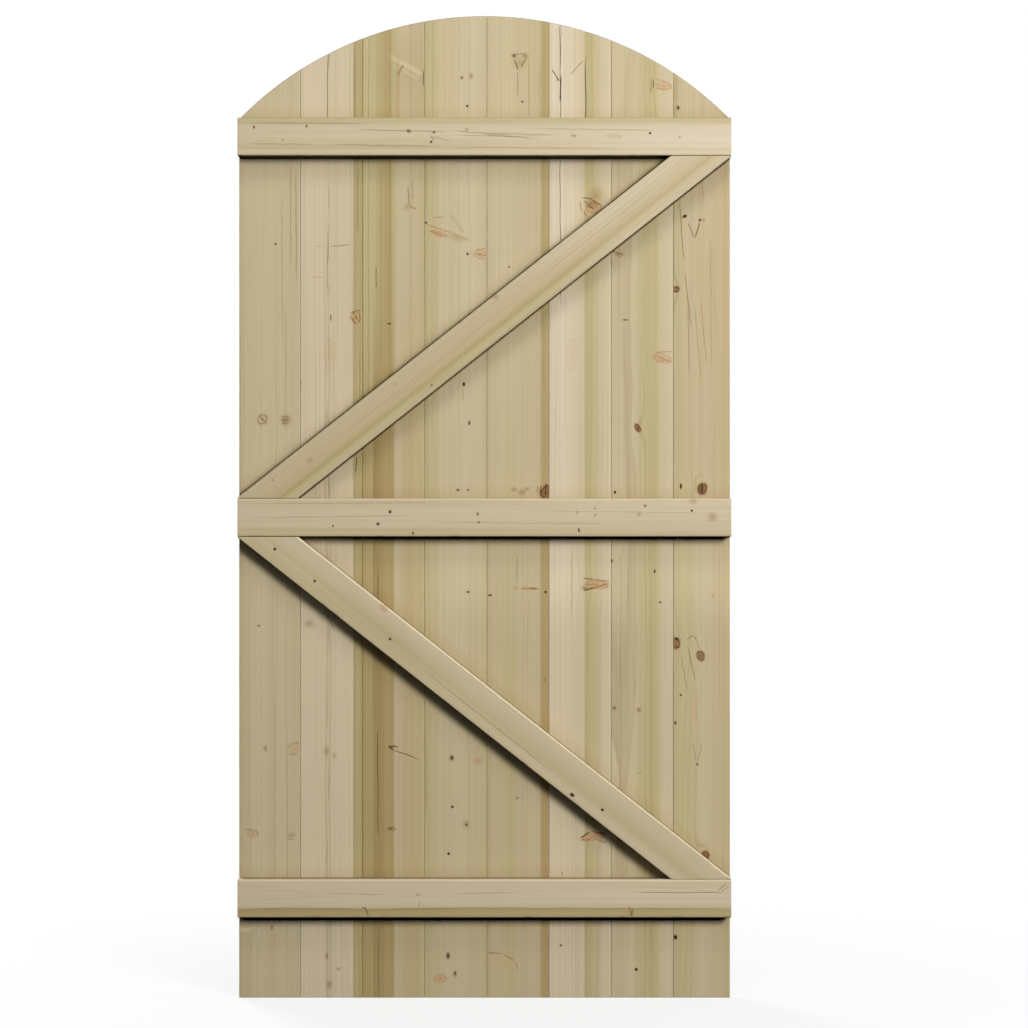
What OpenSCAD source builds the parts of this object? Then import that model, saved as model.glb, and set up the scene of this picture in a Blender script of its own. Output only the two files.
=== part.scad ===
// Arched garden gate leaf: tongue-and-groove boards nailed to three ledges and two braces.
// X runs across the leaf, Y from the ledged side to the boarded face, and Z is up.
// The origin is the middle of the bottom edge, half way through the leaf's full thickness.

/* [Leaf] */
// Width of the leaf
leaf_w = 900; // [800:5:1000]
// Height of the leaf at the crown of its arch
leaf_h = 1800; // [1750:10:2000]
// Rise of the arch from where it springs at the edges to its crown
arch_rise = 189; // [100:1:189]

/* [Boards] */
// Thickness of the boards
board_t = 20; // [18:1:24]
// Width of the trimmed board at the left edge
first_board_w = 112; // [95:1:114]
// Width of the trimmed board at the right edge
last_board_w = 104; // [95:1:114]
// Gap left between the faces of neighbouring boards
joint_gap = 0.6; // [0.2:0.1:1.5]
// Size of the bevel on each side of a V joint, on the boarded face
v_bevel = 4; // [2:0.5:5]
// How far the tongue stands out of a board's right edge
tongue_l = 6; // [4:0.5:7]
// Thickness of the tongue
tongue_t = 6; // [4:0.5:7]

/* [Ledges and braces] */
// Width of the ledges and braces, seen square on
rail_w = 70; // [60:1:90]
// Thickness of the ledges and braces
rail_t = 34; // [28:1:45]
// Radius of the rounded arrises along the ledges and braces
rail_round = 3; // [1:0.5:5]
// Height of the bottom ledge's underside above the bottom edge
bottom_ledge_z = 151; // [100:1:200]
// Height of the top ledge's underside above the bottom edge
top_ledge_z = 1540; // [1440:1:1540]
// Height of the squared-off tip where a brace reaches the edge of the leaf
brace_tip = 2; // [1:0.5:10]

/* [Nails] */
// Diameter of a nail's shank
nail_d = 3; // [2.5:0.1:3.5]
// Full length of a nail, with its head and point
nail_l = 50; // [38:1:52]
// Diameter of a nail's head
nail_head_d = 7; // [6:0.5:8]
// Distance across a board between its two nails in one ledge
nail_spread_x = 56; // [30:1:60]
// Distance up a ledge between those two nails
nail_spread_z = 32; // [20:1:40]
// Distance across a board between its two nails in one brace
brace_nail_spread = 44; // [20:1:50]

/* [Hidden] */
$fn = 64;

board_count = 8;
board_cover = (leaf_w - first_board_w - last_board_w) / (board_count - 2);
arris = 0.8;              // small bevel along every other long edge of a board
tongue_nose = 1;          // bevel on the tongue's two outer edges
tongue_y = 6;             // from the ledged side of a board to its tongue
tongue_play = 0.2;        // clearance around the tongue in its groove
groove_extra = 1;         // the groove is this much deeper than the tongue is long
nail_head_t = 1.2;
nail_point_l = 5;
nail_tip_d = 0.8;
nail_play = 0.02;         // clearance around a nail, so that the solids only touch
seat_gap = 0.2;           // clearance between a brace's cut ends and the ledges

leaf_t = board_t + rail_t;
rail_y = -leaf_t / 2;              // outer face of the ledges and braces
board_y = rail_y + rail_t;         // ledged side of the boards
face_y = board_y + board_t;        // boarded face
middle_ledge_z = (bottom_ledge_z + top_ledge_z) / 2;
spring_z = leaf_h - arch_rise;
arch_r = (pow(leaf_w / 2, 2) + pow(arch_rise, 2)) / (2 * arch_rise);
reach = 2 * leaf_h;                // longer than any cut

// The clear height between two ledges, and the slope that takes a brace from corner to corner of it.
bay_h = middle_ledge_z - bottom_ledge_z - rail_w;
brace_run_h = bay_h - 2 * brace_tip;
brace_angle = atan(brace_run_h / leaf_w) + asin(rail_w / norm([leaf_w, brace_run_h]));

wood = [0.78, 0.71, 0.54];
rail_wood = [0.80, 0.73, 0.57];
zinc = [0.62, 0.63, 0.64];

// ---- where the boards and nails are ----

// Left side of board i, counted from 0. Board number board_count is the leaf's right edge.
function board_x(i) =
    i == 0 ? -leaf_w / 2 :
    i == board_count ? leaf_w / 2 :
    first_board_w - leaf_w / 2 + (i - 1) * board_cover;

function board_mid(i) = (board_x(i) + board_x(i + 1)) / 2;

// Two nails for board i in the ledge with underside z: one high and one low.
function ledge_nails(i, z) = [
    for (side = [-1, 1])
        [board_mid(i) + side * nail_spread_x / 2, z + rail_w / 2 + side * nail_spread_z / 2]
];

// Height of a rising brace's upper and lower edges at x, above the bay's lower ledge.
function brace_top(x) = min(bay_h, brace_tip + (x + leaf_w / 2) * tan(brace_angle));
function brace_bottom(x) = max(0, bay_h - brace_tip - (leaf_w / 2 - x) * tan(brace_angle));

// Two nails for board i in a brace over the ledge with underside z. way is 1 for a brace that
// rises to the right and -1 for one that rises to the left.
function brace_nails(i, z, way) = [
    for (side = [-1, 1])
        let (x = board_mid(i) + side * brace_nail_spread / 2)
            [x, z + rail_w + (brace_top(way * x) + brace_bottom(way * x)) / 2]
];

// ---- nails ----

// One nail lying along -Y with its head flush with the boarded face. play makes it a hole's size.
module nail(at, play = 0) {
    translate([at[0], face_y, at[1]])
        rotate([90, 0, 0]) {
            cylinder(d = nail_head_d + 2 * play, h = nail_head_t + play, $fn = 32);
            cylinder(d = nail_d + 2 * play, h = nail_l - nail_point_l, $fn = 24);
            translate([0, 0, nail_l - nail_point_l])
                cylinder(
                    d1 = nail_d + 2 * play,
                    d2 = nail_tip_d + 2 * play,
                    h = nail_point_l + play,
                    $fn = 24
                );
        }
}

module ledge_nail_row(z, play = 0) {
    for (i = [0 : board_count - 1], at = ledge_nails(i, z))
        nail(at, play);
}

module brace_nail_row(z, way, play = 0) {
    for (i = [0 : board_count - 1], at = brace_nails(i, z, way))
        nail(at, play);
}

// Every nail through board i.
module board_nails(i, play = 0) {
    for (z = [bottom_ledge_z, middle_ledge_z, top_ledge_z], at = ledge_nails(i, z))
        nail(at, play);
    for (at = concat(brace_nails(i, middle_ledge_z, 1), brace_nails(i, bottom_ledge_z, -1)))
        nail(at, play);
}

// ---- boards ----

// Front outline of the whole leaf: a rectangle under a circular arch.
module leaf_outline() {
    translate([-leaf_w / 2, 0])
        square([leaf_w, spring_z]);
    intersection() {
        translate([0, leaf_h - arch_r])
            circle(r = arch_r, $fn = 256);
        translate([-leaf_w / 2, spring_z - 1])
            square([leaf_w, arch_rise + 2]);
    }
}

// Points down the right edge of a board in plan: square at the leaf's edge, tongued elsewhere.
function right_edge(x, tongued) = tongued ? [
    [x - arris, 0], [x, arris],
    [x, tongue_y], [x + tongue_l - tongue_nose, tongue_y],
    [x + tongue_l, tongue_y + tongue_nose], [x + tongue_l, tongue_y + tongue_t - tongue_nose],
    [x + tongue_l - tongue_nose, tongue_y + tongue_t], [x, tongue_y + tongue_t],
    [x, board_t - v_bevel], [x - v_bevel, board_t]
] : [
    [x - arris, 0], [x, arris],
    [x, board_t - arris], [x - arris, board_t]
];

// Points up the left edge of a board in plan: square at the leaf's edge, grooved elsewhere.
function left_edge(x, grooved) = grooved ? [
    [x + v_bevel, board_t], [x, board_t - v_bevel],
    [x, tongue_y + tongue_t + tongue_play],
    [x + tongue_l + groove_extra, tongue_y + tongue_t + tongue_play],
    [x + tongue_l + groove_extra, tongue_y - tongue_play],
    [x, tongue_y - tongue_play],
    [x, arris], [x + arris, 0]
] : [
    [x + arris, board_t], [x, board_t - arris],
    [x, arris], [x + arris, 0]
];

module board_profile(i) {
    first = i == 0;
    last = i == board_count - 1;
    x0 = board_x(i) + (first ? 0 : joint_gap / 2);
    x1 = board_x(i + 1) - (last ? 0 : joint_gap / 2);
    polygon(concat(right_edge(x1, !last), left_edge(x0, !first)));
}

module board(i) {
    shade = 1 - 0.05 * (i % 3);
    color(wood * shade)
        difference() {
            intersection() {
                translate([0, board_y, 0])
                    linear_extrude(height = leaf_h + 1)
                        board_profile(i);
                translate([0, face_y + 1, 0])
                    rotate([90, 0, 0])
                        linear_extrude(height = board_t + 2)
                            leaf_outline();
            }
            board_nails(i, nail_play);
        }
}

// ---- ledges and braces ----

// End view of a planed rail with rounded arrises: x is its thickness and y its width.
module rail_profile() {
    translate([0, rail_round])
        square([rail_t, rail_w - 2 * rail_round]);
    translate([rail_round, 0])
        square([rail_t - 2 * rail_round, rail_w]);
    for (x = [rail_round, rail_t - rail_round], y = [rail_round, rail_w - rail_round])
        translate([x, y])
            circle(r = rail_round, $fn = 32);
}

// A straight rail of length l along X, from the outer face at y = 0, with its underside at z = 0.
module rail(l) {
    rotate([90, 0, 90])
        linear_extrude(height = l)
            rail_profile();
}

module ledge(z) {
    color(rail_wood)
        difference() {
            translate([-leaf_w / 2, rail_y, z])
                rail(leaf_w);
            ledge_nail_row(z, nail_play);
        }
}

// A brace over the ledge with underside z. way is 1 to rise to the right and -1 to the left.
module brace(z, way) {
    color(rail_wood)
        difference() {
            intersection() {
                translate([0, rail_y, z + rail_w + bay_h / 2])
                    rotate([0, -way * brace_angle, 0])
                        translate([-leaf_w, 0, -rail_w / 2])
                            rail(2 * leaf_w);
                translate([-leaf_w / 2, rail_y - 1, z + rail_w + seat_gap])
                    cube([leaf_w, rail_t + 2, bay_h - 2 * seat_gap]);
            }
            brace_nail_row(z, way, nail_play);
        }
}

board(0);  // board_1
board(1);  // board_2
board(2);  // board_3
board(3);  // board_4
board(4);  // board_5
board(5);  // board_6
board(6);  // board_7
board(7);  // board_8
ledge(top_ledge_z);  // top_ledge
ledge(middle_ledge_z);  // middle_ledge
ledge(bottom_ledge_z);  // bottom_ledge
brace(middle_ledge_z, 1);  // upper_brace
brace(bottom_ledge_z, -1);  // lower_brace
color(zinc) ledge_nail_row(top_ledge_z);  // top_ledge_nails
color(zinc) ledge_nail_row(middle_ledge_z);  // middle_ledge_nails
color(zinc) ledge_nail_row(bottom_ledge_z);  // bottom_ledge_nails
color(zinc) brace_nail_row(middle_ledge_z, 1);  // upper_brace_nails
color(zinc) brace_nail_row(bottom_ledge_z, -1);  // lower_brace_nails
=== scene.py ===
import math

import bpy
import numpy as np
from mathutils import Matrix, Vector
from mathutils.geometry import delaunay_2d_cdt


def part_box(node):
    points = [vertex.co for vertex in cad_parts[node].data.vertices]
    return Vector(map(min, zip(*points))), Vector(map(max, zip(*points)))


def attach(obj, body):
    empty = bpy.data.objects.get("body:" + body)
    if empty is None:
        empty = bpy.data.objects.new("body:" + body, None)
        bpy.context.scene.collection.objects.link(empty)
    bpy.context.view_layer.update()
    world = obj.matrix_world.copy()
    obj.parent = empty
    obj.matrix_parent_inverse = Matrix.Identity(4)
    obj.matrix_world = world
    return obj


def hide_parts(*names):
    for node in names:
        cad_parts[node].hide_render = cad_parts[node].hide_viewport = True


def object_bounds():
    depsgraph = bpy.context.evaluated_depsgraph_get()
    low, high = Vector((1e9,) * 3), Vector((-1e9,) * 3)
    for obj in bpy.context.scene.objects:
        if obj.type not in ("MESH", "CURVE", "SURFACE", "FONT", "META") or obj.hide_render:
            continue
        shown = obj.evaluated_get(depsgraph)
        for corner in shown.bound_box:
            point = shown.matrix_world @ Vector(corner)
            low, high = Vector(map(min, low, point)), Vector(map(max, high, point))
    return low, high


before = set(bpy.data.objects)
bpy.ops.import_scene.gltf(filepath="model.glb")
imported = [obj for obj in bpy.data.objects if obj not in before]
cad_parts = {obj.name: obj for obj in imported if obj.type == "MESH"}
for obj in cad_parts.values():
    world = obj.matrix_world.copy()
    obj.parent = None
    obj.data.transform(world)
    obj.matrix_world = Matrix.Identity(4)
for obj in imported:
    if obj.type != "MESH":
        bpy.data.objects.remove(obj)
cad_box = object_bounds()

# An arched garden gate in pressure-treated softwood: eight tongue-and-groove boards nailed to
# three ledges and two braces. Every timber is its cross-section swept along the grain, and its
# material grows the grain, knots and colour bands of that one length of wood. Lengths are in
# metres, except in the lists of what shows on each timber, which are in millimetres.

MM = 0.001

# ---- sizes, from the frame ----

BOARDS = [f"board_{i}" for i in range(1, 9)]
LEDGES = ["bottom_ledge", "middle_ledge", "top_ledge"]
BRACES = {"upper_brace": 1, "lower_brace": -1}     # 1 rises to the right, -1 to the left
NAILS = ["top_ledge_nails", "middle_ledge_nails", "bottom_ledge_nails",
         "upper_brace_nails", "lower_brace_nails"]

leaf_low, leaf_high = cad_box
BOXES = {name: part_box(name) for name in [*BOARDS, *LEDGES, *BRACES]}
HALF_WIDTH = leaf_high.x
CROWN_Z = leaf_high.z
RAIL_Y = leaf_low.y                        # outer face of the ledges and braces
BOARD_Y = BOXES["board_1"][0].y            # ledged side of the boards
FACE_Y = leaf_high.y                       # boarded face
BOARD_T = FACE_Y - BOARD_Y
RAIL_T = BOARD_Y - RAIL_Y
RAIL_W = BOXES["top_ledge"][1].z - BOXES["top_ledge"][0].z
JOINTS = [BOXES[name][0].x for name in BOARDS] + [HALF_WIDTH]

# The arch passes through the crown and through the top of board 8's left edge.
arch_x = BOXES["board_8"][0].x
arch_drop = CROWN_Z - BOXES["board_8"][1].z
ARCH_R = (arch_x ** 2 + arch_drop ** 2) / (2 * arch_drop)

# ---- sizes of the machined details ----

JOINT_GAP = 0.2 * MM
BOARD_ARRIS = 0.45 * MM
V_BEVEL = 4 * MM
TONGUE_L = 6 * MM
TONGUE_T = 6 * MM
TONGUE_Y = 6 * MM
GROOVE_EXTRA = 1 * MM
TONGUE_PLAY = 0.2 * MM
RAIL_ROUND = 3 * MM
BRACE_TIP = 1.8 * MM                       # short upright cut at each end of a brace
END_ARRIS = 0.7 * MM
COLUMN = 4 * MM                            # spacing of mesh columns across a face
ROW = 6 * MM                               # spacing of mesh rows along the grain
NAIL_STEPS = (-5.5, -4, -2.2, 0, 2.2, 4, 5.5)   # columns and rows round a nail, in millimetres
DISH_R = 4.6 * MM                          # the wood crushed in round each nail head
DISH_DEPTH = 0.45 * MM
CHECK_TAPER = 30 * MM                      # over which a check's ends close


# ---- node formulas ----

class Field:
    """A number that varies over a surface. Arithmetic on it adds nodes to its material."""

    def __init__(self, tree, socket):
        self.tree = tree
        self.socket = socket

    def math(self, operation, *others, clamp=False):
        node = self.tree.nodes.new("ShaderNodeMath")
        node.operation = operation
        node.use_clamp = clamp
        for place, value in zip(node.inputs, (self, *others)):
            plug(self.tree, place, value)
        return Field(self.tree, node.outputs[0])

    def __add__(self, other):
        return self.math("ADD", other)

    def __sub__(self, other):
        return self.math("SUBTRACT", other)

    def __mul__(self, other):
        return self.math("MULTIPLY", other)

    def __truediv__(self, other):
        return self.math("DIVIDE", other)

    def __pow__(self, other):
        return self.math("POWER", other)

    __radd__ = __add__
    __rmul__ = __mul__

    def __rsub__(self, other):
        return (self * -1) + other

    def fraction(self):
        return self.math("FRACT")

    def size(self):
        return self.math("ABSOLUTE")

    def root(self):
        return self.math("SQRT")

    def wave(self):
        return self.math("SINE")

    def ramp(self, low, high):
        """Smoothly from 0 at low to 1 at high."""
        node = self.tree.nodes.new("ShaderNodeMapRange")
        node.interpolation_type = "SMOOTHSTEP"
        plug(self.tree, node.inputs[0], self)
        for place, value in ((1, low), (2, high)):
            plug(self.tree, node.inputs[place], value)
        return Field(self.tree, node.outputs[0])

    def least(self, *others):
        """The smallest of this and the others."""
        smallest = self
        for other in others:
            smallest = smallest.math("MINIMUM", other)
        return smallest

    def falloff(self):
        """From 1 at 0, fading towards 0."""
        return 1 / (self * self + 1) ** 2

    def __rtruediv__(self, other):
        node = self.tree.nodes.new("ShaderNodeMath")
        node.operation = "DIVIDE"
        node.inputs[0].default_value = other
        plug(self.tree, node.inputs[1], self)
        return Field(self.tree, node.outputs[0])


def plug(tree, place, value):
    """Links a field to an input, or sets the input to a constant."""
    if isinstance(value, Field):
        tree.links.new(value.socket, place)
    else:
        place.default_value = value


def vector(tree, x, y, z):
    """Three fields or numbers as one vector or colour."""
    node = tree.nodes.new("ShaderNodeCombineXYZ")
    for place, value in zip(node.inputs, (x, y, z)):
        plug(tree, place, value)
    return Field(tree, node.outputs[0])


def noise(tree, place, detail=2, roughness=0.5):
    """Smooth random values round 0, from about -1 to 1."""
    node = tree.nodes.new("ShaderNodeTexNoise")
    node.inputs["Scale"].default_value = 1
    node.inputs["Detail"].default_value = detail
    node.inputs["Roughness"].default_value = roughness
    tree.links.new(place.socket, node.inputs["Vector"])
    return (Field(tree, node.outputs[0]) - 0.5) * 2.4


def along(tree, place, direction):
    """How far a place is along a direction."""
    node = tree.nodes.new("ShaderNodeVectorMath")
    node.operation = "DOT_PRODUCT"
    tree.links.new(place.socket, node.inputs[0])
    node.inputs[1].default_value = direction
    return Field(tree, node.outputs["Value"])


def attribute(tree, name):
    """A number stored on the mesh's own vertices."""
    node = tree.nodes.new("ShaderNodeAttribute")
    node.attribute_name = name
    return Field(tree, node.outputs["Fac"])


def blend(tree, share, first, second, kind="MIX"):
    """Mixes two colours."""
    node = tree.nodes.new("ShaderNodeMix")
    node.data_type = "RGBA"
    node.blend_type = kind
    node.clamp_factor = True
    plug(tree, node.inputs["Factor"], share)
    plug(tree, node.inputs[6], first)
    plug(tree, node.inputs[7], second)
    return Field(tree, node.outputs[2])


def new_material(name):
    """A material, its nodes and its shader."""
    material = bpy.data.materials.new(name)
    material.use_nodes = True
    tree = material.node_tree
    return material, tree, tree.nodes["Principled BSDF"]


def add_bump(tree, shader, height, strength, distance):
    """Lets a field raise and lower the shading of a surface."""
    bump = tree.nodes.new("ShaderNodeBump")
    bump.inputs["Strength"].default_value = strength
    bump.inputs["Distance"].default_value = distance
    plug(tree, bump.inputs["Height"], height)
    tree.links.new(bump.outputs[0], shader.inputs["Normal"])


def colour_ramp(tree, place, stops):
    """A colour that follows place through stops of (position, colour). Returns colour and alpha."""
    node = tree.nodes.new("ShaderNodeValToRGB")
    tree.links.new(place.socket, node.inputs[0])
    points = node.color_ramp.elements
    while len(points) < len(stops):
        points.new(0.5)
    for point, (position, colour) in zip(points, sorted(stops, key=lambda stop: stop[0])):
        point.position = min(max(position, 0), 1)
        point.color = colour
    return Field(tree, node.outputs[0]), Field(tree, node.outputs[1])


def srgb(red, green, blue, alpha=1.0):
    """A colour as it reads on screen, from 0 to 255, as the renderer wants it."""
    def linear(value):
        share = value / 255
        return share / 12.92 if share <= 0.04045 else ((share + 0.055) / 1.055) ** 2.4
    return (linear(red), linear(green), linear(blue), alpha)


# ---- what the wood is like ----

WOOD = {
    "ivory": srgb(208, 194, 171),
    "cream": srgb(203, 187, 159),
    "pale": srgb(197, 182, 153),
    "straw": srgb(192, 177, 145),
    "fawn": srgb(188, 172, 140),
    "pink": srgb(187, 169, 136),
    "green": srgb(184, 170, 130),
    "moss": srgb(177, 163, 119),
    "tan": srgb(184, 164, 125),
    "olive": srgb(171, 154, 109),
    "brown": srgb(168, 146, 102),
    "bark": srgb(158, 136, 92),
}
STROKE = {
    "crack": srgb(48, 32, 18),
    "umber": srgb(106, 74, 44),
    "rust": srgb(160, 108, 66),
    "moss": srgb(140, 122, 78),
    "glow": srgb(206, 154, 112),
    "shine": srgb(208, 194, 154),
}
GREEN_TINT = srgb(178, 170, 118)
NAIL_STAIN = srgb(104, 98, 84)
WARM_SHEEN = (1, 0.86, 0.66, 1)

# Each kind of mark runs from its middle out to its rim, as (share of its radius, colour).
MARKS = {
    "knot": [
        (0.00, srgb(112, 78, 48)), (0.20, srgb(136, 100, 66)), (0.46, srgb(132, 96, 62)),
        (0.56, srgb(80, 53, 32)), (0.64, srgb(146, 112, 76, 0.75)), (0.76, srgb(176, 144, 102, 0.35)),
        (1.00, srgb(186, 160, 120, 0.0)),
    ],
    "eye": [
        (0.00, srgb(110, 80, 50, 0.9)), (0.12, srgb(160, 126, 88, 0.45)), (0.44, srgb(180, 148, 108, 0.35)),
        (0.54, srgb(118, 86, 54, 0.9)), (0.62, srgb(172, 142, 100, 0.35)), (1.00, srgb(190, 164, 126, 0.0)),
    ],
    "flame": [
        (0.00, srgb(172, 122, 80, 0.9)), (0.22, srgb(190, 144, 100, 0.7)), (0.50, srgb(192, 154, 112, 0.5)),
        (0.60, srgb(146, 104, 66, 0.7)), (0.70, srgb(188, 156, 114, 0.35)), (1.00, srgb(196, 172, 132, 0.0)),
    ],
    "dot": [
        (0.00, srgb(40, 26, 14)), (0.40, srgb(54, 38, 22)), (0.54, srgb(104, 80, 52, 0.75)),
        (0.70, srgb(150, 128, 90, 0.3)), (0.90, srgb(170, 150, 112, 0.0)),
    ],
    "smudge": [
        (0.00, srgb(128, 98, 62, 0.7)), (0.35, srgb(148, 118, 80, 0.5)), (1.00, srgb(180, 158, 118, 0.0)),
    ],
    "shade": [
        (0.00, srgb(156, 136, 92, 0.6)), (0.5, srgb(164, 146, 102, 0.35)), (1.00, srgb(180, 164, 124, 0.0)),
    ],
}


PAINTED_LIGHT_Z = BOXES["middle_ledge"][0].z - 55 * MM   # middle of the band of painted light below the middle ledge
PAINTED_LIGHT_REACH = 130 * MM
PAINTED_LIGHT_FULL = 30 * MM
BRACE_HIDDEN = 1.2 * MM                    # the rising brace's round covers this much of the painted shadow line above it
BRACE_LIT = 1.6 * MM                       # how much finer the painted shadow line along its lit side is
BOARD_STREAKING = 1.0
RAIL_STREAKING = 1.5


# ---- what shows on each timber ----
#
# Places are x and z in the row frame, in millimetres.

# Colour bands across each board from its left side, at the top and at the foot, and across each rail
# from its upper side, at its right end and its left end: (millimetres, colour).
BANDS = {
    "board_1": (
        [(0, "pink"), (9, "fawn"), (20, "straw"), (85, "straw"), (95, "fawn"), (100, "straw"),
         (112, "straw")],
        [(0, "tan"), (9, "fawn"), (25, "straw"), (45, "straw"), (60, "fawn"), (80, "straw"), (112, "fawn")],
    ),
    "board_2": (
        [(0, "pale"), (8, "cream"), (40, "cream"), (60, "pale"), (75, "cream"), (95, "pale"), (96, "pale"),
         (97.5, "olive"), (106, "moss"), (110, "olive"), (114, "moss")],
        [(0, "cream"), (40, "cream"), (55, "pale"), (70, "cream"), (96, "cream"), (97.5, "olive"),
         (106, "moss"), (110, "olive"), (114, "olive")],
    ),
    "board_3": (
        [(0, "olive"), (3, "green"), (24, "green"), (27, "moss"), (40, "olive"), (52, "brown"),
         (54, "moss"), (58, "green"), (70, "straw"), (100, "fawn"), (114, "green")],
        [(0, "brown"), (18, "olive"), (20, "bark"), (30, "bark"), (42, "brown"), (56, "brown"),
         (60, "fawn"), (90, "tan"), (114, "green")],
    ),
    "board_4": (
        [(0, "green"), (14, "green"), (30, "straw"), (60, "straw"), (85, "pale"), (105, "straw"),
         (114, "fawn")],
        [(0, "green"), (10, "green"), (28, "fawn"), (60, "straw"), (90, "fawn"), (114, "green")],
    ),
    "board_5": (
        [(0, "fawn"), (12, "straw"), (50, "straw"), (85, "fawn"), (96, "fawn"), (101, "olive"),
         (114, "olive")],
        [(0, "tan"), (12, "fawn"), (36, "green"), (48, "green"), (56, "pink"), (85, "fawn"), (96, "pink"),
         (101, "brown"), (114, "brown")],
    ),
    "board_6": (
        [(0, "ivory"), (30, "ivory"), (50, "cream"), (64, "pale"), (66.5, "moss"), (80, "green"),
         (92, "straw"), (100, "pale"), (114, "cream")],
        [(0, "cream"), (30, "cream"), (50, "pale"), (64, "pale"), (66.5, "moss"), (80, "green"),
         (92, "fawn"), (100, "pale"), (114, "pale")],
    ),
    "board_7": (
        [(0, "straw"), (40, "straw"), (52, "fawn"), (60, "green"), (82, "green"), (90, "straw"),
         (102, "pale"), (114, "pale")],
        [(0, "straw"), (40, "straw"), (55, "green"), (66, "green"), (72, "moss"), (84, "green"),
         (93, "straw"), (103, "pale"), (114, "straw")],
    ),
    "board_8": (
        [(0, "green"), (20, "fawn"), (45, "fawn"), (52, "pink"), (60, "fawn"), (76, "pink"), (84, "pink"),
         (97, "tan"), (104, "fawn")],
        [(0, "green"), (30, "green"), (45, "straw"), (70, "fawn"), (88, "pink"), (97, "green"),
         (104, "tan")],
    ),
    "top_ledge": (
        [(0, "green"), (11, "straw"), (14, "cream"), (30, "ivory"), (50, "ivory"), (62, "cream"),
         (70, "cream")],
        [(0, "green"), (11, "green"), (13, "straw"), (20, "pale"), (36, "pale"), (50, "straw"),
         (55, "green"), (61, "pale"), (70, "straw")],
    ),
    "middle_ledge": (
        [(0, "pale"), (20, "cream"), (50, "pale"), (60, "straw"), (70, "straw")],
        [(0, "straw"), (20, "pale"), (50, "pale"), (58, "green"), (62, "straw"), (70, "green")],
    ),
    "bottom_ledge": (
        [(0, "pale"), (25, "cream"), (45, "pale"), (52, "straw"), (54, "olive"), (62, "moss"), (70, "moss")],
        [(0, "pale"), (25, "cream"), (45, "pale"), (52, "straw"), (54, "brown"), (62, "olive"),
         (70, "moss")],
    ),
    "upper_brace": (
        [(0, "pale"), (22, "pale"), (32, "straw"), (40, "pink"), (48, "tan"), (56, "straw"), (70, "pale")],
        [(0, "fawn"), (24, "pink"), (36, "pink"), (44, "tan"), (50, "olive"), (58, "green"), (70, "fawn")],
    ),
    "lower_brace": (
        [(0, "pale"), (20, "straw"), (34, "fawn"), (42, "green"), (50, "fawn"), (58, "straw"),
         (70, "straw")],
        [(0, "pale"), (20, "pale"), (32, "straw"), (38, "green"), (46, "straw"), (50, "fawn"),
         (56, "green"), (70, "straw")],
    ),
}

# From where to where, in metres along the grain, the second bands give way to the first.
BAND_CHANGE = {name: (0.5, 1.3) for name in BOARDS} | {
    "board_3": (0.95, 1.4),
    "top_ledge": (0.25, 0.95),
    "middle_ledge": (0.2, 0.9),
    "bottom_ledge": (0.2, 0.9),
    "upper_brace": (0.0, 0.35),
    "lower_brace": (-0.4, 0.2),
}

# How much painted light brightens some boards just below the middle ledge.
PAINTED_LIGHT_SHARE = {
    "board_3": 0.06, "board_4": 0.12, "board_5": 0.05, "board_6": 0.12, "board_7": 0.08, "board_8": 0.15,
}

# Where the pith was (v, w), how the cut leaned from it, the spacing of the rings and their contrast.
GRAIN = {
    "board_1": ((190, -60), (0.004, 0.004), 8.0, 1.0),
    "board_2": ((150, -60), (-0.003, 0.006), 9.5, 1.0),
    "board_3": ((-50, -70), (0.006, 0.004), 8.0, 1.0),
    "board_4": ((170, -50), (-0.004, -0.003), 8.4, 1.0),
    "board_5": ((-90, -40), (0.003, 0.006), 7.6, 1.0),
    "board_6": ((190, -70), (0.005, -0.004), 9.0, 1.0),
    "board_7": ((20, -110), (-0.004, 0.003), 5.4, 1.0),
    "board_8": ((64, -70), (0.006, -0.006), 6.4, 1.4),
    "top_ledge": ((10, -46), (0.012, 0.02), 4.2, 0.6),
    "middle_ledge": ((90, -60), (-0.006, 0.01), 3.6, 0.6),
    "bottom_ledge": ((-12, -50), (0.01, -0.018), 4.4, 0.6),
    "upper_brace": ((8, -70), (0.004, 0.006), 5.0, 0.6),
    "lower_brace": ((-60, -44), (0.006, -0.01), 4.6, 0.6),
}

# How strongly a painted highlight lies on each rail's upper arrises (a negative share paints them darker),
# and how strongly painted shade lies on its underside.
RAIL_PAINTED_LIGHT = {
    "top_ledge": (-0.7, 1.0),
    "middle_ledge": (0.5, 1.0),
    "bottom_ledge": (1.0, 1.0),
    "upper_brace": (0.0, 0.8),
    "lower_brace": (1.6, 0.8),
}

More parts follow.
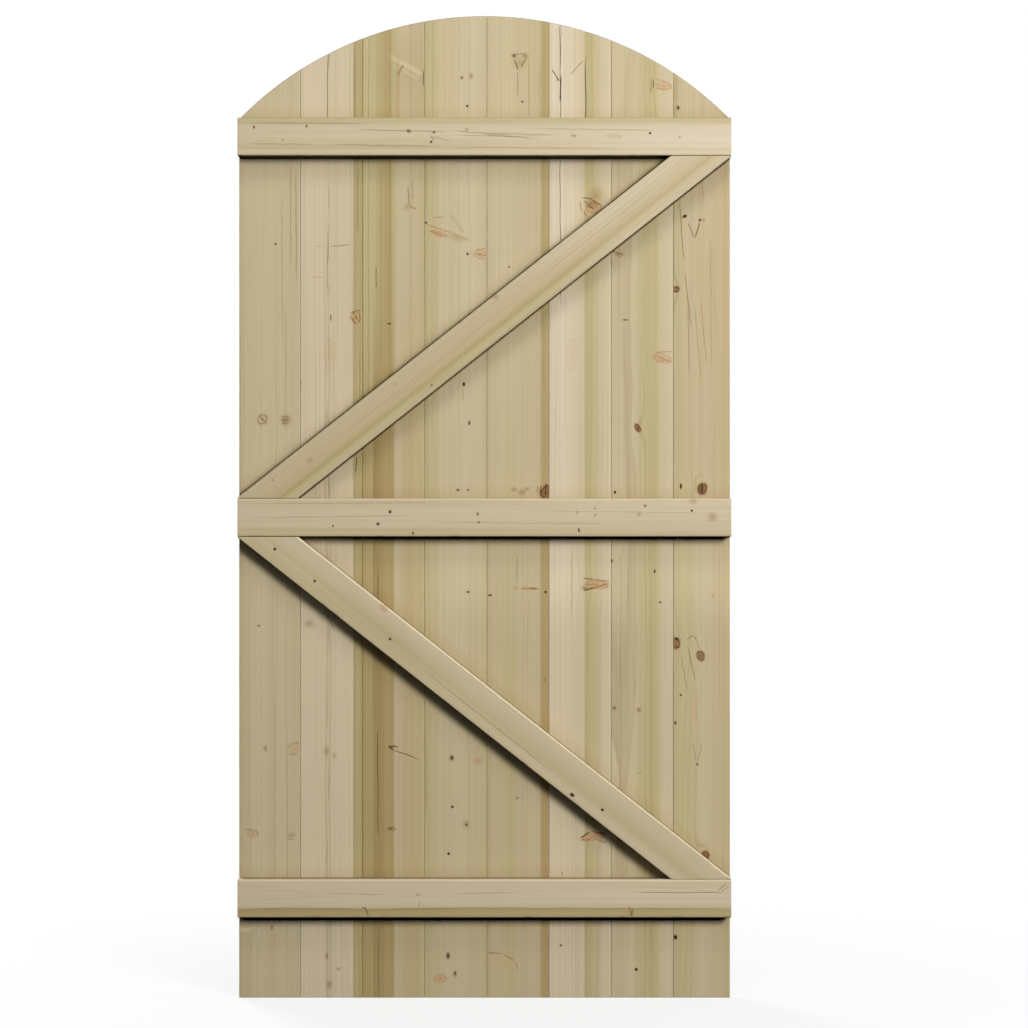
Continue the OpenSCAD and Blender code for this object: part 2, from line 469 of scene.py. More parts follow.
# Knots and dots: (kind, x, z, radius across, length over width, strength, slant). The last three
# are left out where they are 1, 1 and 0.
KNOTS = {
    "board_1": [
        ("eye", -408, 1061, 12, 1.1, 1, -0.6), ("smudge", -365, 1059, 12, 1, 1.1),
        ("dot", -383, 1382, 3.4, 0.6), ("flame", -425, 300, 12, 0.7, 0.8),
        ("smudge", -354, 298, 9, 0.8, 0.7), ("dot", -414, 682, 3, 0.8, 0.8),
        ("smudge", -390, 129, 3, 2.2, 1.3), ("smudge", -402, 457, 5, 1.3, 1.2),
        ("flame", -347, 456, 12, 0.8, 0.5),
    ],
    "board_2": [
        ("smudge", -322, 686, 12, 0.8, 0.8), ("flame", -236, 1247, 12), ("smudge", -240, 1245, 4, 1.2),
        ("smudge", -289, 76, 3, 2.4, 1.3), ("smudge", -268, 53, 6, 0.6, 0.8),
        ("smudge", -285, 24, 7, 1.4, 0.9), ("smudge", -290, 452, 7, 1.6, 0.7),
        ("smudge", -275, 444, 6, 1.2, 0.6), ("flame", -284, 1180, 14, 2.5, 0.25),
    ],
    "board_3": [
        ("shade", -138, 1690, 48, 2.2, 0.6), ("dot", -175, 1236, 5, 0.42),
        ("shade", -142, 1450, 11, 0.7, 1, 0.6), ("smudge", -173, 310, 9, 0.3, 0.8),
        ("smudge", -171, 459, 7, 0.5, 1, -0.4),
    ],
    "board_4": [
        ("flame", -84, 1401, 20, 0.3, 1, -0.3), ("flame", -86, 1400, 11, 0.4, 0.9, -0.3),
        ("dot", -108, 1421, 3.6, 0.8, 0.9), ("smudge", -82, 1431, 12, 0.16),
        ("shade", -52, 1394, 20, 0.45, 0.9, -0.4), ("flame", -9, 1364, 14, 0.55, 0.75),
        ("dot", -31, 1364, 3), ("smudge", -41, 1687, 5, 0.8), ("dot", -42, 1687, 2.4, 1, 0.8),
        ("smudge", -25, 1690, 5, 1.4), ("dot", -32, 1635, 3.2, 1, 0.9), ("dot", -38, 1125, 3.6, 1.4),
        ("dot", -28, 1054, 2.8, 2, 0.9), ("dot", -49, 931, 4, 0.8, 0.8), ("dot", -30, 931, 3, 1, 0.7),
        ("dot", -30, 744, 4, 0.7, 0.8), ("smudge", -60, 440, 6, 1.4, 1.2), ("dot", -60, 440, 4.2, 1.5, 0.8),
        ("dot", -59, 350, 3.4), ("dot", -66, 264, 3.4), ("smudge", -34, 319, 8, 1.3, 0.8),
        ("dot", -33, 317, 3, 1, 0.8), ("dot", -67, 77, 5, 1.6, 0.8), ("flame", -82, 35, 13, 0.7, 0.9),
        ("smudge", -54, 43, 5, 1.5, 1.2), ("dot", -54, 45, 3, 1.4, 0.8), ("flame", -12, 434, 10, 0.8, 0.7),
    ],
    "board_5": [
        ("smudge", 54, 1727, 7, 0.9, 1.3), ("dot", 54, 1727, 3, 1, 0.8), ("smudge", 74, 1727, 8, 0.8, 1.2),
        ("shade", 64, 1714, 16, 0.9), ("dot", 69, 1643, 3, 1, 0.8), ("knot", 115, 926, 18),
        ("smudge", 54, 932, 7, 0.8, 0.9), ("smudge", 68, 927, 9, 0.8), ("smudge", 78, 933, 6, 0.8, 0.8),
        ("dot", 10, 738, 5, 0.5, 0.9), ("flame", 57, 752, 4), ("dot", 112, 744, 3.4),
        ("flame", 82, 750, 16, 0.2, 0.9), ("dot", 60, 366, 4, 0.8, 0.5), ("smudge", 111, 583, 4, 1.6),
        ("dot", 45, 1340, 3, 1, 0.7),
    ],
    "board_6": [
        ("shade", 203, 1470, 18, 1.2, 1.5), ("flame", 200, 1449, 17, 0.8),
        ("smudge", 196, 1456, 13, 0.9, 1.1), ("flame", 206, 757, 25, 0.34, 1, -0.1),
        ("smudge", 184, 751, 7, 0.7, 1.2), ("flame", 200, 295, 26, 0.3, 1, 0.2),
        ("dot", 135, 1683, 4, 0.8, 0.4), ("dot", 140, 96, 3, 1, 0.8), ("flame", 160, 1180, 12, 3, 0.2),
    ],
    "board_7": [
        ("flame", 329, 1672, 17, 0.5, 0.8, -0.15), ("knot", 281, 1045, 6.5, 1.6, 1, 0.5),
        ("dot", 236, 1369, 3, 1, 0.9), ("smudge", 247, 1364, 10, 0.6), ("dot", 239, 927, 3, 1.4),
        ("dot", 258, 1243, 7, 0.3, 0.7), ("flame", 326, 1172, 20, 0.5, 0.75, -0.2),
        ("dot", 233, 801, 3, 1.4, 0.9), ("dot", 312, 782, 2.6, 1.8, 0.9), ("dot", 322, 725, 3.4, 0.8, 0.8),
        ("smudge", 238, 531, 6, 1, 1.3), ("dot", 238, 531, 3.2, 1, 0.5), ("smudge", 283, 528, 6, 0.9, 1.2),
        ("dot", 278, 52, 3.8), ("smudge", 285, 412, 4, 0.6, 0.9),
    ],
    "board_8": [
        ("knot", 399, 933, 11, 1.25), ("dot", 360, 938, 3, 2.4), ("dot", 367, 1433, 6, 0.65, 1, 0.5),
        ("dot", 395, 1426, 3.2), ("smudge", 402, 1426, 3.4, 1, 1.2), ("knot", 350, 1299, 9, 0.8, 0.9, 0.2),
        ("knot", 396, 627, 9.5, 1.3, 0.9, 0.3), ("knot", 351, 650, 10, 1.4, 0.9, 0.3),
        ("dot", 353, 658, 4, 1, 0.9), ("flame", 419, 737, 3.4), ("dot", 360, 555, 3, 1, 0.9),
        ("dot", 350, 504, 3.4, 1.4, 0.8), ("knot", 405, 262, 9, 1.1), ("dot", 390, 428, 2.8, 1, 0.9),
        ("dot", 355, 1632, 4, 1.4, 0.8), ("dot", 350, 111, 5, 1.2), ("dot", 343, 45, 2.8, 1, 0.8),
        ("dot", 336, 114, 2.4, 1, 0.6), ("dot", 338, 100, 2.4, 1, 0.6),
    ],
    "top_ledge": [
        ("dot", -420, 1592, 4, 0.5), ("dot", -324, 1594, 4, 0.6, 0.8), ("smudge", -367, 1569, 3, 0.8),
        ("dot", -138, 1585, 4, 1.4, 0.8, -0.5), ("dot", -92, 1583, 3), ("dot", -97, 1565, 3.2, 1, 0.9, 0.5),
        ("smudge", -32, 1588, 4, 1, 0.8), ("smudge", 163, 1576, 3, 2.2, 1.2), ("dot", 302, 1581, 3),
        ("eye", 236, 1576, 5, 3.5, 0.5), ("smudge", 356, 1574, 3, 1, 0.9),
    ],
    "middle_ledge": [
        ("dot", -276, 865, 3, 0.8, 0.8), ("dot", -194, 869, 4, 1, 0.9), ("dot", -172, 891, 4, 1, 0.9),
        ("dot", -130, 852, 4, 0.7, 0.8), ("dot", -12, 887, 4, 0.8, 0.7), ("dot", -10, 872, 3, 1, 0.7),
        ("dot", 172, 857, 3, 0.6), ("smudge", 169, 890, 4, 0.6, 0.9), ("smudge", 202, 897, 3, 1, 1.2),
        ("smudge", 202, 885, 3, 1, 1.2), ("dot", 293, 902, 3.4, 1, 0.7), ("smudge", 282, 887, 6, 1, 0.7),
        ("dot", 378, 893, 3), ("smudge", 415, 882, 11, 1.1, 0.8), ("smudge", 381, 911, 8, 1.2, 0.7),
    ],
    "bottom_ledge": [("smudge", -121, 193, 4, 1.4, 0.8), ("smudge", 268, 160, 7, 1, 0.9)],
    "upper_brace": [
        ("smudge", -385, 949, 3), ("smudge", -318, 985, 7, 1.4, 0.6), ("dot", -96, 1122, 2.6, 1, 0.9),
        ("flame", -163, 1124, 6, 1, 0.5), ("smudge", 20, 1283, 7, 1.2, 0.8),
        ("smudge", -45, 1238, 6, 1.2, 0.7), ("shade", -80, 1135, 9, 7, 0.4),
    ],
    "lower_brace": [
        ("shade", -177, 666, 26, 7, 0.5), ("dot", -382, 823, 4, 0.9), ("dot", -309, 765, 3.6, 0.9),
        ("dot", -172, 659, 3.6, 0.9), ("flame", -184, 715, 6, 1.5, 0.8), ("dot", 160, 375, 4.4, 1.4),
        ("dot", 215, 348, 3.6, 1.2),
    ],
}

# Hairlines and streaks: (x, z, x, z, half width, colour, strength).
HAIRLINES = {
    "board_1": [
        (-414, 1068, -398, 1050, 0.9, "umber", 0.8), (-330, 1690, -331, 1560, 1.4, "moss", 0.4),
        (-374, 1066, -356, 1066, 0.8, "umber", 0.6), (-374, 1060, -356, 1060, 0.8, "umber", 0.6),
        (-372, 1053, -360, 1053, 0.8, "umber", 0.6), (-369, 1069, -369, 1048, 0.8, "umber", 0.5),
        (-372, 1500, -371, 1180, 1, "moss", 0.5), (-356, 1540, -355, 1330, 1, "moss", 0.6),
        (-346, 1530, -345, 1300, 1.4, "moss", 0.6), (-365, 1290, -364, 1020, 0.9, "moss", 0.5),
        (-362, 458, -352, 467, 0.9, "umber", 0.7), (-352, 467, -339, 467, 0.9, "umber", 0.7),
        (-361, 446, -343, 446, 0.8, "umber", 0.6), (-439, 308, -422, 308, 0.9, "umber", 0.6),
        (-422, 308, -413, 300, 0.9, "rust", 0.7), (-361, 291, -349, 290, 0.9, "umber", 0.6),
        (-450, 127, -426, 125, 4.5, "shine", 0.7), (-450, 131, -430, 128, 0.9, "umber", 0.4),
        (-362, 520, -361, 120, 0.9, "moss", 0.4), (-385, 640, -386, 60, 0.9, "moss", 0.35),
    ],
    "board_2": [
        (-312, 1378, -294, 1378, 0.7, "rust", 0.5), (-284, 1377, -242, 1381, 0.9, "umber", 0.6),
        (-318, 1322, -296, 1320, 0.8, "rust", 0.6), (-238.4, 1750, -238.6, 1560, 1, "crack", 0.4),
        (-248, 1254, -226, 1262, 0.9, "umber", 0.9), (-247, 1250, -234, 1233, 0.9, "umber", 0.9),
        (-244, 1262, -230, 1240, 0.8, "umber", 0.8), (-230, 1262, -228, 1236, 0.8, "umber", 0.7),
        (-286, 700, -274, 668, 0.8, "umber", 0.5), (-244, 1500, -244, 40, 1, "shine", 0.3),
        (-282, 1254, -281.5, 1240, 1, "crack", 0.9), (-235, 996, -235.5, 960, 0.9, "crack", 0.9),
        (-232, 1540, -233, 1390, 0.9, "umber", 0.6), (-229, 1200, -229, 1010, 0.9, "moss", 0.6),
    ],
    "board_3": [
        (-178, 1729, -108, 1690, 4.5, "shine", 0.6), (-170, 1712, -120, 1684, 3, "shine", 0.35),
        (-158, 1742, -160, 1560, 3.5, "rust", 0.3), (-148, 1712, -160, 1690, 2, "moss", 0.8),
        (-170, 456, -119, 436, 1, "umber", 1), (-177, 461, -160, 461, 1.1, "crack", 1),
        (-177, 461, -166, 454, 1.1, "crack", 1), (-166, 463, -158, 458, 0.9, "umber", 0.9),
        (-179, 310, -166, 313, 1, "umber", 1), (-179, 310, -166, 307, 1.1, "umber", 1),
        (-166, 313, -162, 307, 0.9, "umber", 0.8), (-196, 800, -194, 640, 0.9, "crack", 0.6),
        (-213, 1560, -213, 1000, 0.9, "moss", 0.6), (-140, 1490, -138, 1450, 1.6, "moss", 0.8),
        (-138, 1452, -125, 1446, 1.8, "moss", 0.7), (-132, 1500, -131, 1455, 1, "moss", 0.6),
        (-113, 1705, -112, 1668, 0.9, "crack", 0.9), (-199, 1345, -199, 1298, 0.8, "crack", 0.8),
        (-190, 1560, -191, 1100, 0.9, "moss", 0.5),
    ],
    "board_4": [
        (-110, 1419, -56, 1401, 0.9, "rust", 0.8), (-106, 1408, -70, 1396, 0.9, "rust", 0.7),
        (-16, 1371, 3, 1374, 0.9, "rust", 0.9), (-18, 1364, 3, 1361, 0.9, "rust", 0.8),
        (-14, 1356, 3, 1355, 0.9, "rust", 0.7), (-66, 1440, -36, 1400, 3, "moss", 0.2),
        (-107, 520, -106, 320, 1, "moss", 0.6), (-107, 1560, -106, 1440, 1, "moss", 0.5),
        (-60, 1400, -24, 1388, 2.2, "moss", 0.35), (-40, 1120, -39, 1090, 0.9, "moss", 0.6),
    ],
    "board_5": [
        (3, 83, 34, 80, 1.4, "rust", 0.7), (34, 80, 56, 67, 1.4, "rust", 0.7),
        (56, 67, 62, 50, 1.2, "rust", 0.6), (4, 68, 50, 62, 10, "glow", 0.2),
        (54, 1722, 62, 1700, 1.1, "umber", 0.9), (77, 1724, 66, 1706, 1.1, "umber", 0.9),
        (48, 1729, 76, 1731, 1, "umber", 0.6), (61, 1700, 61, 1650, 0.9, "umber", 0.6),
        (113, 945, 112, 918, 1.1, "crack", 0.9), (104, 942, 101, 918, 0.9, "crack", 0.8),
        (98, 940, 96, 924, 0.9, "crack", 0.6), (81, 1730, 82, 1600, 0.8, "moss", 0.6),
        (60, 815, 59, 755, 0.8, "umber", 0.6), (64, 751, 104, 750, 0.9, "rust", 0.9),
        (84, 751, 96, 751, 0.9, "umber", 0.9), (101, 1730, 100, 1570, 1.2, "moss", 0.4),
    ],
    "board_6": [
        (141, 232, 144, 224, 1, "rust", 0.9), (122, 1704, 137, 1680, 0.9, "crack", 0.9),
        (155, 1690, 184, 1722, 0.9, "moss", 0.8), (141, 1800, 139, 1700, 0.8, "crack", 0.5),
        (140, 1694, 139, 1640, 1.2, "crack", 1), (178, 1467, 198, 1465, 1, "umber", 1),
        (190, 1467, 216, 1452, 1, "umber", 1), (180, 1463, 202, 1444, 0.9, "umber", 0.9),
        (200, 1464, 208, 1446, 0.9, "umber", 0.9), (182, 1444, 186, 1432, 1, "umber", 1),
        (186, 1451, 202, 1448, 0.9, "umber", 0.8), (175, 1462, 178, 1440, 0.9, "umber", 0.8),
        (181, 769, 232, 763, 1.3, "rust", 1), (180, 746, 232, 761, 1.5, "rust", 1),
        (180, 746, 202, 752, 1.6, "umber", 0.9), (181, 769, 196, 767, 1.1, "umber", 0.7),
        (180, 757, 208, 759, 1, "rust", 0.7), (175, 292, 194, 305, 1.3, "crack", 1),
        (194, 305, 224, 299, 1.2, "umber", 0.9), (174, 288, 198, 292, 1.2, "rust", 1),
        (198, 292, 224, 283, 1, "rust", 1), (160, 830, 160, 690, 0.9, "moss", 0.5),
    ],
    "board_7": [
        (236, 1369, 256, 1361, 0.9, "umber", 0.9), (240, 1363, 252, 1356, 0.8, "rust", 0.8),
        (310, 1684, 309, 1666, 1, "umber", 1), (311, 1685, 338, 1678, 0.9, "rust", 0.7),
        (306, 1690, 305, 1655, 0.9, "umber", 0.6), (312, 1668, 338, 1664, 0.9, "rust", 0.6),
        (310, 1183, 345, 1185, 0.9, "rust", 0.8), (311, 1178, 344, 1165, 0.9, "rust", 0.8),
        (312, 1166, 340, 1170, 0.8, "rust", 0.6), (284, 1051, 279, 1039, 1, "crack", 0.7),
        (266, 840, 262, 700, 1.2, "moss", 0.35), (272, 640, 276, 540, 1.2, "moss", 0.3),
    ],
    "board_8": [
        (337, 380, 346, 380, 0.9, "crack", 0.8), (382, 470, 389, 430, 0.8, "umber", 0.5),
        (398, 470, 391, 430, 0.8, "umber", 0.5), (372, 1424, 384, 1392, 0.9, "umber", 0.8),
        (395, 1424, 385, 1391, 1.3, "umber", 0.9), (357, 1470, 366, 1340, 0.9, "umber", 0.7),
        (366, 1340, 380, 1220, 0.9, "umber", 0.6), (399, 944, 399, 923, 1.9, "crack", 0.9),
        (394, 941, 394, 926, 1, "crack", 0.6), (386, 960, 388, 925, 0.9, "rust", 0.5),
        (388, 950, 396, 964, 0.8, "rust", 0.5), (371, 656, 382, 665, 0.9, "umber", 0.7),
        (382, 665, 391, 652, 0.9, "umber", 0.7), (391, 652, 392, 640, 0.8, "umber", 0.5),
        (371, 650, 388, 575, 0.9, "umber", 0.6), (360, 632, 372, 560, 0.8, "umber", 0.5),
        (349, 661, 355, 655, 1.6, "crack", 0.9), (350, 645, 358, 642, 1.3, "crack", 0.7),
        (354, 652, 360, 658, 1.2, "umber", 0.9), (388, 575, 388, 500, 0.9, "rust", 0.5),
        (384, 480, 387, 560, 1.6, "glow", 0.4), (349, 1303, 358, 1300, 1, "crack", 1),
        (349, 1296, 356, 1294, 1, "crack", 0.9), (396, 1290, 408, 1150, 0.9, "rust", 0.6),
        (384, 1280, 398, 1120, 0.9, "rust", 0.55), (414, 1400, 416, 1130, 0.9, "rust", 0.5),
        (372, 1300, 376, 1130, 0.9, "umber", 0.5), (396, 1540, 402, 1450, 0.9, "rust", 0.5),
        (430, 860, 431, 480, 1.2, "rust", 0.25),
    ],
    "top_ledge": [
        (-240, 1588, -60, 1583, 0.9, "moss", 0.8), (-440, 1600, -200, 1598, 1.2, "moss", 0.6),
        (-60, 1586, 60, 1576, 0.9, "umber", 0.5), (-100, 1578, -90, 1568, 0.9, "umber", 0.9),
        (-96, 1576, -60, 1566, 0.8, "moss", 0.7), (-300, 1560, -60, 1557, 1.2, "moss", 0.6),
        (60, 1590, 330, 1586, 0.9, "moss", 0.5), (-60, 1556, 260, 1552, 1.2, "rust", 0.35),
        (-10, 1579, 100, 1571, 0.9, "umber", 0.5), (-430, 1574, -180, 1577, 1.6, "shine", 0.4),
        (-20, 1582, 140, 1577, 0.9, "moss", 0.6), (-440, 1562, -300, 1560, 1.2, "moss", 0.5),
    ],
    "middle_ledge": [
        (171, 862, 174, 853, 1.3, "crack", 1), (-440, 880, -120, 884, 1, "moss", 0.45),
        (-100, 872, 240, 869, 1, "moss", 0.45), (60, 893, 430, 889, 1, "moss", 0.4),
        (-430, 906, -60, 908, 1.2, "moss", 0.35), (0, 912, 300, 910, 1.4, "shine", 0.4),
    ],
    "bottom_ledge": [
        (-217, 170, -211, 154, 1, "umber", 1), (-225, 170, -214, 169, 1, "umber", 0.9),
        (-440, 168.5, -216, 168, 1, "umber", 0.55), (-211, 169, 442, 168, 1, "umber", 0.5),
        (265, 173, 263, 160, 1.1, "rust", 1), (270, 169, 268, 152, 1.2, "umber", 0.9),
        (266, 197, 444, 197, 0.9, "umber", 0.7), (424, 200, 442, 214, 0.9, "umber", 0.7),
        (430, 199, 446, 208, 0.9, "rust", 0.7), (-60, 195, 60, 197, 0.9, "umber", 0.4),
        (-120, 170, -118, 182, 0.8, "moss", 0.6), (-300, 196, -170, 193, 0.9, "moss", 0.5),
    ],
    "upper_brace": [
        (-300, 1000, 100, 1310, 2, "rust", 0.12), (-100, 1108, 240, 1378, 1.4, "moss", 0.3),
        (80, 1300, 330, 1500, 0.9, "moss", 0.4), (-200, 1068, 0, 1228, 0.9, "moss", 0.3),
    ],
    "lower_brace": [
        (-330, 740, -60, 528, 1.4, "moss", 0.6), (-120, 610, 140, 404, 1.2, "moss", 0.5),
        (-300, 722, 60, 440, 3, "rust", 0.14),
    ],
}

# Drying cracks: (x, z, x, z, half width, depth).
CHECKS = {
    "board_2": [
        (-288, 1560, -288, 1790, 0.45, 1.2), (-287, 1330, -287, 1420, 0.5, 1.2),
        (-287, 1270, -287, 1340, 0.3, 0.6),
    ],
    "board_3": [
        (-196, 289, -196, 500, 0.5, 1.3), (-195, 0, -195, 130, 0.35, 0.8),
        (-213, 1500, -213, 1760, 0.3, 0.5),
    ],
    "board_6": [(139, 1270, 139, 1800, 0.5, 1.4), (185, 1560, 185, 1728, 0.7, 2.2)],
    "board_7": [(250, 300, 250, 830, 0.3, 0.4)],
    "bottom_ledge": [(-200, 168, -60, 168, 0.3, 0.4)],
    "top_ledge": [(-60, 1576, 120, 1576, 0.3, 0.4)],
}


# ---- one length of wood ----

class Timber:
    """One length of wood: where it lies, how it was cut and what shows on it.

    u runs along the grain, v across the face and w in from the outer face. v is first_side at the
    side that the colour bands are measured from."""

    def __init__(self, name, origin, grain, width, thickness, first_side, seed):
        self.name = name
        self.origin = Vector(origin)
        self.grain = Vector(grain).normalized()
        self.depth = Vector((0, 1, 0))
        self.across = self.depth.cross(self.grain)
        self.width = width
        self.thickness = thickness
        self.first_side = first_side
        self.seed = seed
        self.marks = []                    # (u, v, radius, length over width, kind, strength, slant)
        self.strokes = []                  # ((u, v), (u, v), half width, colour, strength)
        self.checks = []                   # (u from, u to, v, half width, depth)
        self.nails = []                    # (u, v)

    def uv(self, x, z):
        """Where a point of the row frame, in millimetres, is on the face."""
        reach = Vector((x * MM, self.origin.y, z * MM)) - self.origin
        return reach.dot(self.grain), reach.dot(self.across)

    def place(self, u, v, w):
        """Row-frame places for arrays of u, v and w."""
        return (
            np.array(self.origin)
            + u[:, None] * np.array(self.grain)
            + v[:, None] * np.array(self.across)
            + w[:, None] * np.array(self.depth)
        )


# ---- cross-sections ----

def fill(start, end, spacing, extra=(), clear=0.0):
    """Values from start to end at an even spacing, with the extra ones, each kept clear."""
    count = max(1, round(abs(end - start) / spacing))
    even = [start + (end - start) * i / count for i in range(count + 1)]
    inside = [e for e in extra if min(start, end) + 1e-4 < e < max(start, end) - 1e-4]
    kept = [
        e for k, e in enumerate(even)
        if k in (0, count) or all(abs(e - x) > clear for x in inside)
    ]
    joined = sorted(kept + inside, reverse=end < start)
    return [a for a, b in zip(joined, joined[1:] + [None]) if b is None or abs(a - b) > 2e-5]


def quarter(centre, radius, turn, count=3):
    """Points of a rounded corner, a quarter turn anticlockwise from the angle turn."""
    return [
        (
            centre[0] + radius * math.cos(math.radians(turn + 90 * k / count)),
            centre[1] + radius * math.sin(math.radians(turn + 90 * k / count)),
        )
        for k in range(count + 1)
    ]


def crack_columns(timber):
    """Columns that let a check open in the face."""
    return [v + side * half for _, _, v, half, _ in timber.checks for side in (-1, -0.35, 0.35, 1)]


def nail_columns(timber):
    """Columns that let the wood sink round each nail head."""
    return [v + side * MM for _, v in timber.nails for side in NAIL_STEPS]


def board_section(timber, tongued, grooved):
    """Plan of a board, anticlockwise from its outer left arris."""
    right, thick, arris = timber.width, timber.thickness, BOARD_ARRIS
    tongue_low, tongue_high = TONGUE_Y, TONGUE_Y + TONGUE_T
    outer = fill(arris, right - arris, COLUMN, crack_columns(timber), 3 * MM)
    points = [(v, 0.0) for v in outer]
    points += quarter((right - arris, arris), arris, -90)[1:]
    if tongued:
        nose = 1 * MM
        points += [(right, w) for w in fill(arris, tongue_low, 2 * MM)[1:]]
        points += [(right + v, tongue_low) for v in fill(0, TONGUE_L - nose, 2.5 * MM)[1:]]
        points += quarter((right + TONGUE_L - nose, tongue_low + nose), nose, -90)[1:]
        points += quarter((right + TONGUE_L - nose, tongue_high - nose), nose, 0)
        points += [(right + v, tongue_high) for v in fill(TONGUE_L - nose, 0, 2.5 * MM)[1:]]
        points += [(right, thick - V_BEVEL), (right - V_BEVEL / 2, thick - V_BEVEL / 2)]
        back_right = right - V_BEVEL
    else:
        points += [(right, w) for w in fill(arris, thick - arris, COLUMN)[1:-1]]
        points += quarter((right - arris, thick - arris), arris, 0)[:-1]
        back_right = right - arris
    back_left = V_BEVEL if grooved else arris
    points += [(v, thick) for v in fill(back_right, back_left, COLUMN, nail_columns(timber), 1.2 * MM)]
    if grooved:
        deep = TONGUE_L + GROOVE_EXTRA
        low, high = tongue_low - TONGUE_PLAY, tongue_high + TONGUE_PLAY
        points += [(V_BEVEL / 2, thick - V_BEVEL / 2), (0.0, thick - V_BEVEL)]
        points += [(v, high) for v in fill(0, deep, 2.5 * MM)]
        points += [(deep, (low + high) / 2)]
        points += [(v, low) for v in fill(deep, 0, 2.5 * MM)]
        points += [(0.0, w) for w in fill(low, arris, 2 * MM)[1:]]
    else:
        points += quarter((arris, thick - arris), arris, 90)[1:]
        points += [(0.0, w) for w in fill(thick - arris, arris, COLUMN)[1:]]
    points += quarter((arris, arris), arris, 180)[1:-1]
    return points


def rail_section(timber, extra=()):
    """End view of a planed rail with rounded arrises, anticlockwise, centred across."""
    half, thick, curve = timber.width / 2, timber.thickness, RAIL_ROUND
    columns = [*crack_columns(timber), *extra]
    points = [(v, 0.0) for v in fill(curve - half, half - curve, COLUMN, columns, 1.5 * MM)]
    points += quarter((half - curve, curve), curve, -90, 5)[1:]
    points += [(half, w) for w in fill(curve, thick - curve, COLUMN)[1:]]
    points += quarter((half - curve, thick - curve), curve, 0, 5)[1:]
    points += [(v, thick) for v in fill(half - curve, curve - half, COLUMN)[1:]]
    points += quarter((curve - half, thick - curve), curve, 90, 5)[1:]
    points += [(-half, w) for w in fill(thick - curve, curve, COLUMN)[1:]]
    points += quarter((curve - half, curve), curve, 180, 5)[1:-1]
    return points


# ---- relief ----

def waviness(u, v, seed, longest):
    """Slow unevenness over a face, from 0 to 1: a few crossing waves of random lengths."""
    random = np.random.default_rng(seed)
    total = np.zeros_like(u)
    for _ in range(6):
        length = longest * random.uniform(0.3, 1)
        lean = random.uniform(-0.5, 0.5)
        turn = random.uniform(0, 2 * math.pi)
        total += np.sin(2 * math.pi * (u + lean * 4 * v) / length + turn)
    return 0.5 + total / 12


def check_path(u, seed):
    """How far a check strays sideways at u."""
    return 0.7 * MM * np.sin(u * 23 + seed) + 0.4 * MM * np.sin(u * 71 + 2 * seed)


def relief(timber, u, v, w):
    """How far each point of the surface lies inside its ideal plane."""
    sunk = (0.08 + 0.16 * waviness(u, v, timber.seed, 0.5)) * MM
    outer = w < 0.1 * MM
    back = w > timber.thickness - 0.1 * MM
    for u0, v0, radius, stretch, kind, strength, _ in timber.marks:
        if kind in ("knot", "eye"):
            far = np.hypot((v - v0) / radius, (u - u0) / (radius * stretch))
            sunk -= outer * 0.07 * MM * strength * np.exp(-(far ** 2))
    for start, end, v0, half, deep in timber.checks:
        middle = np.abs(v - v0 - check_path(u, timber.seed)) < 0.5 * half
        taper = np.clip((u - start) / CHECK_TAPER, 0, 1) * np.clip((end - u) / CHECK_TAPER, 0, 1)
        sunk += outer * middle * taper * deep
    for u0, v0 in timber.nails:
        far = np.hypot(u - u0, v - v0) / DISH_R
        sunk += back * DISH_DEPTH * np.exp(-(far ** 6)) + back * 0.12 * MM * np.exp(-((far / 2) ** 2))
    return sunk


def dents(timber, u, corner):
    """Small knocks along the arrises: how deep at u. corner tells the arrises apart."""
    random = np.random.default_rng(timber.seed + corner)
    deep = np.zeros_like(u)
    for _ in range(9):
        centre = random.uniform(u.min(), u.max())
        length = random.uniform(2, 7) * MM
        deep += random.uniform(0.15, 0.55) * MM * np.exp(-(((u - centre) / length) ** 2))
    return deep


# ---- sweeping a section into a timber ----

def outward(points):
    """Unit normals of a closed anticlockwise outline."""
    after = np.roll(points, -1, axis=0) - points
    after /= np.linalg.norm(after, axis=1, keepdims=True)
    before = np.roll(after, 1, axis=0)
    mean = after + before
    mean /= np.maximum(np.linalg.norm(mean, axis=1, keepdims=True), 1e-9)
    normal = np.stack([mean[:, 1], -mean[:, 0]], axis=1)
    flare = np.clip((after * before).sum(axis=1), -0.5, 1)
    return normal / np.sqrt((1 + flare) / 2)[:, None]


def row_values(low, high, extra):
    """Where the mesh has rows between low and high: evenly, and round each nail."""
    even = np.arange(low, high, ROW)
    close = [e + side * MM for e in extra for side in NAIL_STEPS]
    rows = np.array(sorted([low, high, *[c for c in close if low < c < high], *even]))
    keep = np.concatenate([[True], np.diff(rows) > 0.9 * MM])
    keep[-1] = True
    return rows[keep]


def cap(outline, spacing):
    """Triangles over a closed outline, with inner points so that they stay well shaped."""
    low, high = outline.min(axis=0), outline.max(axis=0)
    inner = []
    for a in np.arange(low[0] + spacing, high[0] - spacing / 2, spacing):
        for b in np.arange(low[1] + spacing, high[1] - spacing / 2, spacing):
            inner.append((a, b))
    inner = [p for p in inner if inside(outline, p) and clearance(outline, p) > 0.3 * spacing]
    points = [Vector(p) for p in outline] + [Vector(p) for p in inner]
    count = len(outline)
    edges = [(k, (k + 1) % count) for k in range(count)]
    made, _, faces, origins, _, _ = delaunay_2d_cdt(points, edges, [], 1, 1e-7)
    faces = [f for f in faces if inside(outline, sum((made[k] for k in f), Vector((0, 0))) / 3)]
    first = [o[0] if o else None for o in origins]
    return inner, [[first[k] for k in f] for f in faces if None not in [first[k] for k in f]]


